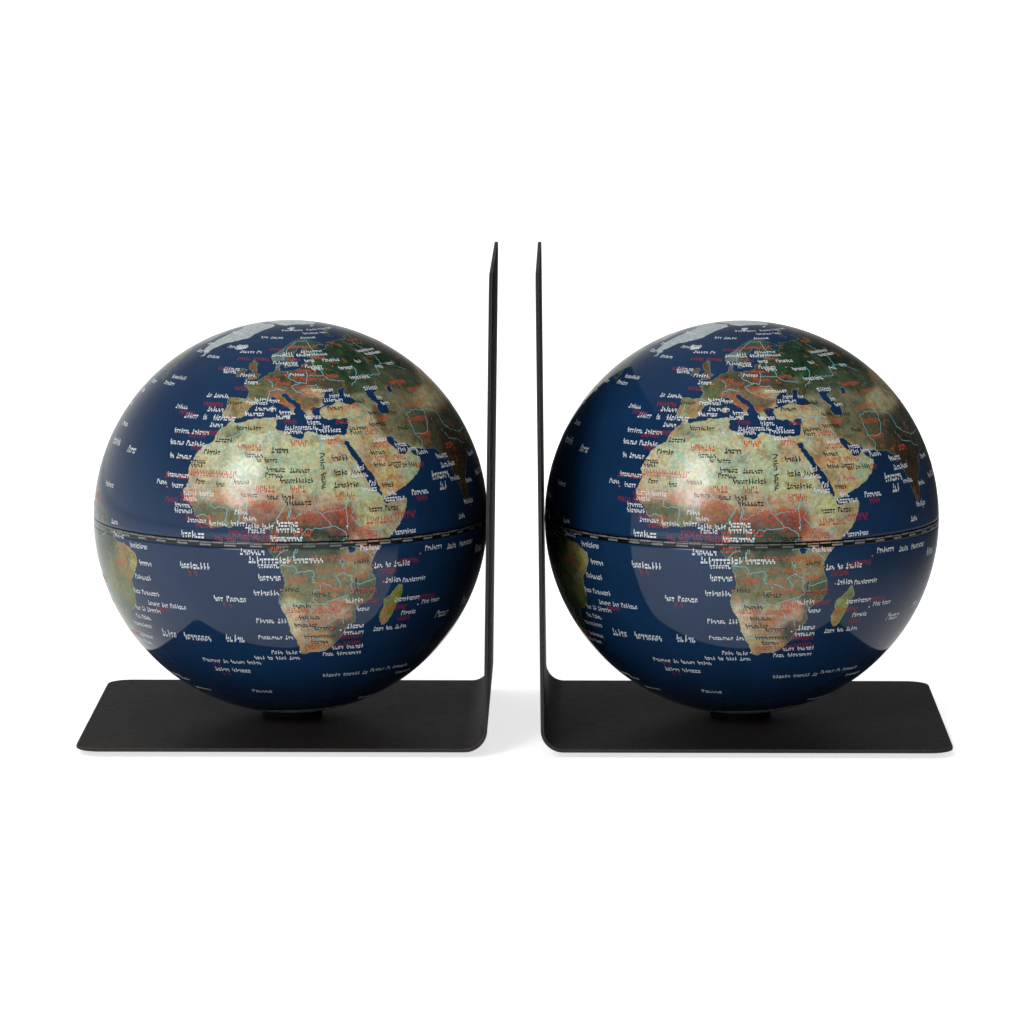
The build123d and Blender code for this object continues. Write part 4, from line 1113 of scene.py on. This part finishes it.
class Finish(Nodes):
    """A material under way."""

    def __init__(self, name):
        self.material = bpy.data.materials.new(name)
        self.material.use_nodes = True
        super().__init__(self.material.node_tree)

    def stored(self, name, output="Fac"):
        return self.add("ShaderNodeAttribute", attribute_name=name).outputs[output]

    def done(self, color, **inputs):
        """The material, once its shader has its inputs."""
        self.fill(self.tree.nodes["Principled BSDF"], {"Base_Color": color, **inputs})
        return self.material


# Everything printed on a globe lies under one clear lacquer.
LACQUER = {"Roughness": 0.5, "Specular_IOR_Level": 0.03, "Coat_Weight": 1.0, "Coat_Roughness": 0.05}


def printed_map():
    """Dark blue map print under a clear satin-gloss lacquer."""
    n = Finish("printed_map")
    tint = n.stored("tint", "Color")
    # the shore line wanders by about half a millimetre, with smaller bays in it
    ragged = n.math("MULTIPLY_ADD", n.noise(420.0, 4.0, 0.6), 1.3, -0.65)
    bays = n.math("MULTIPLY_ADD", n.noise(980.0, 5.0, 0.7), 1.4, -0.7)
    edge = n.math("ADD", n.stored("shore"), n.math("ADD", ragged, bays))
    # relief and vegetation mottling over the broad tints
    broad = n.noise(170.0, 5.0, 0.62)
    fine = n.noise(900.0, 4.0, 0.6)
    relief = n.noise(230.0, 7.0, 0.68)
    patch = n.noise(330.0, 5.0, 0.65)
    sand = n.noise(310.0, 4.0, 0.7)
    mint = n.noise(270.0, 5.0, 0.7)
    hue = n.spread(broad, 0.3, 0.7, 0.482, 0.522)
    value = n.spread(fine, 0.3, 0.7, 0.74, 1.16)
    strength = n.spread(patch, 0.35, 0.65, 0.72, 1.12)
    varied = n.add("ShaderNodeHueSaturation", Color=tint, Hue=hue, Value=value, Saturation=strength)
    varied = varied.outputs[0]
    shaded = n.mix(n.spread(relief, 0.52, 0.36, 0.0, 0.5), varied, (0.25, 0.24, 0.2, 1.0), "MULTIPLY")
    # deserts have sandy and greenish patches of their own
    sandy = n.mix(n.spread(sand, 0.52, 0.66, 0.0, 0.5), shaded, ink(214, 158, 104))
    minty = n.mix(n.spread(mint, 0.52, 0.66, 0.0, 0.5), sandy, ink(174, 204, 164))
    pale = n.spread(n.add("ShaderNodeRGBToBW", Color=tint).outputs[0], 0.1, 0.35)
    land = n.mix(pale, shaded, minty)
    land = n.mix(n.spread(patch, 0.55, 0.68, 0.0, 0.5), land, ink(190, 112, 72))
    land = n.mix(n.spread(broad, 0.42, 0.3, 0.0, 0.36), land, ink(96, 134, 104))
    # ice is the one tint with much blue in it, and it keeps its own colour
    icy = n.spread(n.add("ShaderNodeSeparateColor", Color=tint).outputs["Blue"], 0.44, 0.56)
    land = n.mix(icy, land, varied)
    # the sea, with the print's fine grain, and a pale line of shallows
    sea = n.mix(n.spread(n.noise(60.0), 0.3, 0.7), ink(13, 43, 76), ink(16, 50, 87))
    sea = n.mix(n.spread(n.noise(2600.0, 2.0, 0.7), 0.3, 0.7, 0.0, 0.34), sea, ink(33, 65, 101))
    color = n.mix(n.spread(edge, -0.05, 0.05), sea, land)
    beach = n.math("ABSOLUTE", n.math("SUBTRACT", edge, 0.12))
    color = n.mix(n.spread(beach, 0.2, 0.0, 0.0, 0.3), color, ink(168, 190, 176))
    return n.done(color, **LACQUER)


def printed_ink(name, rgb, worn):
    """Ink on the map, a little uneven, under the same lacquer."""
    n = Finish(name)
    uneven = n.spread(n.noise(1500.0, 3.0, 0.6), 0.3, 0.75, 0.0, 0.5)
    return n.done(n.mix(uneven, ink(*rgb), ink(*worn)), **LACQUER)


def country_ink():
    """Red ink of the country names: orange-red over land, and darker where it lies on the sea."""
    n = Finish("country_red_ink")
    uneven = n.spread(n.noise(1500.0, 3.0, 0.6), 0.3, 0.75)
    on_land = n.mix(uneven, ink(204, 88, 60), ink(180, 82, 62))
    at_sea = n.mix(uneven, ink(150, 46, 58), ink(126, 44, 60))
    return n.done(n.mix(n.spread(n.stored("shore"), -0.5, 0.5), at_sea, on_land), **LACQUER)


def scale_bars():
    """Grey bars of the equator's scale, with a little of the map's tint."""
    n = Finish("equator_scale_ink")
    grey = n.mix(n.spread(n.noise(1200.0), 0.3, 0.7), ink(112, 118, 122), ink(138, 142, 142))
    over_land = n.spread(n.stored("shore"), -0.3, 0.3, 0.0, 0.6)
    return n.done(n.mix(over_land, grey, n.stored("tint", "Color")), **LACQUER)


def powder_coat():
    """Fine matte black powder coat: a tight orange-peel bump, slightly uneven colour, and a painted
    highlight along its edges.
    """
    n = Finish("black_powder_coat")
    peel = n.noise(2400.0, 3.0, 0.55)
    color = n.mix(n.spread(n.noise(45.0), 0.3, 0.7), ink(34, 31, 30), ink(38, 35, 33))
    color = n.mix(n.spread(peel, 0.35, 0.7, 0.0, 0.5), color, ink(47, 44, 42))
    # painted highlight: the colour turns paler along every edge, in place of the light that a rounded edge
    # catches
    color = n.mix(n.spread(n.edges(0.0011), 0.01, 0.12, 0.0, 0.75), color, ink(104, 98, 92))
    rough = n.spread(n.noise(300.0), 0.3, 0.7, 0.53, 0.58)
    return n.done(color, Roughness=rough, Specular_IOR_Level=0.16, Normal=n.bump(peel, 0.22, 0.0001))


def moulded(name, tone, other, roughness, shine=0.5):
    """Moulded plastic or rubber with a fine skin, in one grey that varies to another."""
    n = Finish(name)
    skin = n.noise(900.0, 3.0, 0.6)
    color = n.mix(n.spread(skin, 0.3, 0.7), ink(*tone), ink(*other))
    skin = n.bump(skin, 0.3, 0.0001)
    return n.done(color, Roughness=roughness, Specular_IOR_Level=shine, Normal=skin)


def machined(name, tone, other, roughness):
    """Metal with turning marks: fine rings that follow the height."""
    n = Finish(name)
    marks = n.add("ShaderNodeTexWave", bands_direction="Z", Scale=1400.0, Distortion=1.5)
    n.give(marks.inputs["Vector"], n.place())
    grain = n.noise(700.0)
    color = n.mix(n.spread(grain, 0.3, 0.7), ink(*tone), ink(*other))
    rough = n.spread(grain, 0.3, 0.7, roughness - 0.06, roughness + 0.06)
    bump = n.bump(marks.outputs["Fac"], 0.2, 0.00004)
    return n.done(color, Metallic=1.0, Roughness=rough, Normal=bump)


# --- one globe ----------------------------------------------------------------------------------
shell_maps = {}


def map_shell(globe, half):
    """One printed hemisphere with its map stored on its points. The points have the same places
    on both globes, so each half's map is worked out once."""
    profile = shell_profile(globe.radius, half)
    piece, points = turned_shell(globe, f"{globe.side}_map_{half}", profile, half == "south")
    if half not in shell_maps:
        shell_maps[half] = map_values(*longitude_latitude(points, globe.heading))
    shore, tint = shell_maps[half]
    give_attribute(piece, "shore", shore)
    give_attribute(piece, "tint", tint)
    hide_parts(f"{globe.side}_{half}_hemisphere")
    return piece


def map_at(piece, globe):
    """Shore distance and tint at each of a piece's own points."""
    points = np.empty(len(piece.data.vertices) * 3, np.float32)
    piece.data.vertices.foreach_get("co", points)
    return map_values(*longitude_latitude(points.reshape(-1, 3) - globe.centre, globe.heading))


# Rows of the equator's scale: name, first cell, and the bars' low and high edges in mm.
SCALE_ROWS = (("upper", 0, 0.16, 0.62), ("upper", 1, 0.16, 0.5), ("lower", 1, -0.7, -0.16))


def equator_band(globe, looks):
    """Black tape in its recess, with a scale of grey bars along it. Each bar is a row of short
    boxes, so that it follows the curve."""
    outer = globe.radius - PRINT_DEPTH / 2
    inner = globe.radius - TAPE_RECESS + TAPE_GAP
    half = TAPE_HALF_WIDTH
    bulge = [(math.sqrt(outer**2 - z**2), z) for z in np.linspace(-half, half, 7)]
    section = [(inner, -half), *bulge, (inner, half)]
    tape, _ = turned_shell(globe, f"{globe.side}_tape", section, True)
    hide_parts(f"{globe.side}_equator_tape")
    tape.data.materials.append(looks["tape"])
    made = [tape]
    step = 360 / SCALE_CELLS
    shares = np.linspace(0.04, 0.96, BARS_PER_CELL + 1)
    wide = math.radians(step * (shares[1] - shares[0])) * globe.radius
    for row, first, low, high in SCALE_ROWS:
        cells = np.arange(first, SCALE_CELLS, 2)[:, None]
        lon = (cells * step + shares[None, :-1] * step).ravel()
        bars = [(0, wide, low, high, 0)] * len(lon)
        piece = printed_boxes(globe, f"{globe.side}_scale_{row}_{first}", lon, 0 * lon, bars)
        shore, tint = map_at(piece, globe)
        give_attribute(piece, "shore", shore)
        give_attribute(piece, "tint", tint)
        piece.data.materials.append(looks["scale"])
        made.append(piece)
    return made


def printed_globe(side, looks):
    """Every visible piece of one globe, riding on its body."""
    globe = Globe(side)
    made = []
    for half in ("north", "south"):
        shell = map_shell(globe, half)
        shell.data.materials.append(looks["map"])
        made.append(shell)
    made += equator_band(globe, looks)
    rng = np.random.default_rng(NAME_SEED)
    for tone, text in (("white", WHITE_NAMES), ("red", RED_NAMES), ("black", BLACK_NAMES)):
        lon, lat, boxes = name_strokes(text, tone == "red", BOLDER if tone == "black" else 0.0, rng)
        piece = printed_boxes(globe, f"{side}_names_{tone}", lon, lat, boxes)
        if tone == "red":
            give_attribute(piece, "shore", map_at(piece, globe)[0])
        piece.data.materials.append(looks[tone])
        made.append(piece)
    lines = drawn_lines(globe, f"{side}_borders", outlines(LINES), np.random.default_rng(BORDER_SEED))
    lines.data.materials.append(looks["cyan"])
    made.append(lines)
    for tone, text in (("white", WHITE_TOWNS), ("town_red", RED_TOWNS)):
        piece = town_dots(globe, f"{side}_towns_{tone}", numbers(text, 2))
        piece.data.materials.append(looks[tone])
        made.append(piece)
    for piece in made:
        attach(piece, globe.body)


# --- the stage ----------------------------------------------------------------------------------
def surroundings():
    """White to the camera. A glossy surface sees it bright near the horizon, and dim overhead and
    to the right; everything else gets an even fill."""
    world = bpy.data.worlds.new("studio")
    bpy.context.scene.world = world
    world.use_nodes = True
    n = Nodes(world.node_tree)
    n.tree.nodes.clear()
    rays = n.add("ShaderNodeLightPath").outputs
    toward = n.add("ShaderNodeSeparateXYZ", Vector=n.add("ShaderNodeTexCoord").outputs["Generated"]).outputs
    overhead = n.spread(toward["Z"], -0.05, 0.6, 0.64, 0.16)
    rightward = n.spread(toward["X"], -0.15, 0.35, 1.0, 0.05)
    fill = 0.24
    level = n.either(rays["Is Glossy Ray"], fill, n.math("MULTIPLY", overhead, rightward))
    level = n.either(rays["Is Camera Ray"], level, 1.0)
    glow = n.add("ShaderNodeBackground", Color=(1, 1, 1, 1), Strength=level)
    n.add("ShaderNodeOutputWorld", Surface=glow.outputs[0])


def soft_light(name, place, aim, size, power):
    """Rectangular lamp turned to its aim, brightest in the middle and fading out at its edges."""
    data = bpy.data.lights.new(name, "AREA")
    data.shape = "RECTANGLE"
    data.size = size[0]
    data.size_y = size[1]
    data.energy = power
    data.use_nodes = True
    n = Nodes(data.node_tree)
    spot = n.add("ShaderNodeSeparateXYZ", Vector=n.add("ShaderNodeNewGeometry").outputs["Parametric"])
    squares = []
    for axis in ("X", "Y"):
        off_middle = n.math("SUBTRACT", spot.outputs[axis], 0.5)
        squares.append(n.math("MULTIPLY", off_middle, off_middle))
    fade = n.spread(n.math("ADD", *squares), 0.0, 0.25, 2.6, 0.0)
    n.give(n.tree.nodes["Emission"].inputs["Strength"], fade)
    lamp = bpy.data.objects.new(name, data)
    bpy.context.scene.collection.objects.link(lamp)
    lamp.location = place
    x, y, z = np.array(aim, float) - np.array(place, float)
    lamp.rotation_euler = (math.atan2(math.hypot(x, y), -z), 0, math.atan2(y, x) - math.pi / 2)
    return lamp


def floor():
    """Pale floor: its own light shows to the camera and in reflections, and its shadows stay."""
    half = 6.0
    corners = np.array([[-half, -half, 0], [half, -half, 0], [half, half, 0], [-half, half, 0]])
    piece = mesh_piece("floor", corners, [[0, 1, 2, 3]], smooth=False)
    n = Finish("white_sweep")
    rays = n.add("ShaderNodeLightPath").outputs
    x, y, _ = n.add("ShaderNodeSeparateXYZ", Vector=n.place()).outputs
    # in reflections the right-hand side is dark
    dimmed = n.math("MULTIPLY", rays["Is Glossy Ray"], n.spread(x, 0.02, 0.3, 0.0, 0.9))
    paint = n.mix(dimmed, (0.8, 0.8, 0.8, 1), (0.02, 0.02, 0.02, 1))
    reach = n.math("SQRT", n.math("ADD", n.math("MULTIPLY", x, x), n.math("MULTIPLY", y, y)))
    to_camera = n.math("MULTIPLY", rays["Is Camera Ray"], n.spread(reach, 0.2, 0.7, 0.72, 1.0))
    to_gloss = n.math("MULTIPLY", rays["Is Glossy Ray"], n.spread(x, 0.05, 0.4, 0.3, 0.0))
    shine = n.add("ShaderNodeEmission", Color=(1, 1, 1, 1), Strength=n.math("ADD", to_camera, to_gloss))
    both = n.add("ShaderNodeAddShader")
    n.give(both.inputs[0], n.add("ShaderNodeBsdfDiffuse", Color=paint).outputs[0])
    n.give(both.inputs[1], shine.outputs[0])
    n.give(n.tree.nodes["Material Output"].inputs["Surface"], both.outputs[0])
    piece.data.materials.append(n.material)


def studio():
    """White sweep, a soft key light from the upper left front and a dim right side. Only the
    sheen shows in reflections, and it gives no other light."""
    bpy.context.scene.view_settings.view_transform = "Standard"
    surroundings()
    sheen = soft_light("sheen", (-0.77, -1.34, 0.85), (-0.07, 0, 0.07), (0.85, 1.3), 10)
    sheen.visible_diffuse = False
    for name, place, aim, size, power in (
        ("key", (-0.6, -1.4, 0.95), (0, 0, 0.07), (0.7, 0.9), 14),
        ("front", (-0.8, -1.6, 0.25), (0, 0, 0.05), (1.0, 0.4), 2.2),
        ("top", (-0.2, 0.2, 1.3), (0, 0, 0.0), (1.2, 1.0), 5),
    ):
        soft_light(name, place, aim, size, power).visible_glossy = False
    floor()


def camera():
    """Slightly above, nearly square on, with a long lens."""
    down, left = math.radians(8.038), math.radians(0.662)
    data = bpy.data.cameras.new("camera")
    data.sensor_width = 36.0
    data.lens = 181.1
    data.clip_end = 50.0
    eye = bpy.data.objects.new("camera", data)
    bpy.context.scene.collection.objects.link(eye)
    eye.location = (0.0181, -1.6839, 0.3085)
    eye.rotation_euler = (math.pi / 2 - down, 0, left)
    bpy.context.scene.camera = eye


# --- build it -----------------------------------------------------------------------------------
camera()
studio()
looks = {
    "map": printed_map(),
    "white": printed_ink("white_ink", (232, 236, 238), (196, 206, 214)),
    "red": country_ink(),
    "town_red": printed_ink("town_red_ink", (238, 96, 70), (240, 160, 140)),
    "black": printed_ink("black_ink", (38, 34, 30), (70, 62, 50)),
    "cyan": printed_ink("cyan_ink", (128, 200, 206), (96, 168, 180)),
    "tape": printed_ink("tape_black", (14, 14, 15), (24, 24, 26)),
    "scale": scale_bars(),
}
for side in SIDES:
    printed_globe(side, looks)

coat = powder_coat()
rubber = moulded("foot_rubber", (38, 38, 38), (52, 52, 52), 0.8)
black_nylon = moulded("black_nylon", (18, 18, 19), (26, 26, 27), 0.6, 0.1)
white_nylon = moulded("white_nylon", (214, 214, 208), (226, 226, 222), 0.4)
grey_plastic = moulded("grey_plastic", (150, 150, 150), (164, 164, 164), 0.5)
zinc = machined("zinc_plated_steel", (196, 196, 192), (176, 178, 178), 0.32)
steel = machined("turned_steel", (188, 188, 188), (168, 168, 168), 0.26)
spring = machined("spring_steel", (120, 116, 112), (98, 96, 94), 0.36)
FINISHES = {
    "bracket": coat, "foot_front_inner": rubber, "foot_front_outer": rubber, "foot_back_inner": rubber,
    "foot_back_outer": rubber, "pivot_screw": zinc, "lock_washer": zinc, "thrust_disc": black_nylon,
    "pivot_post": steel, "pole_bush": black_nylon, "bush_nut": black_nylon, "slip_washer": white_nylon,
    "disc_spring": spring, "lock_nut": zinc, "joint_ring": grey_plastic,
}
for side in SIDES:
    for part, material in FINISHES.items():
        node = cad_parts[f"{side}_{part}"]
        node.data.materials.clear()
        node.data.materials.append(material)
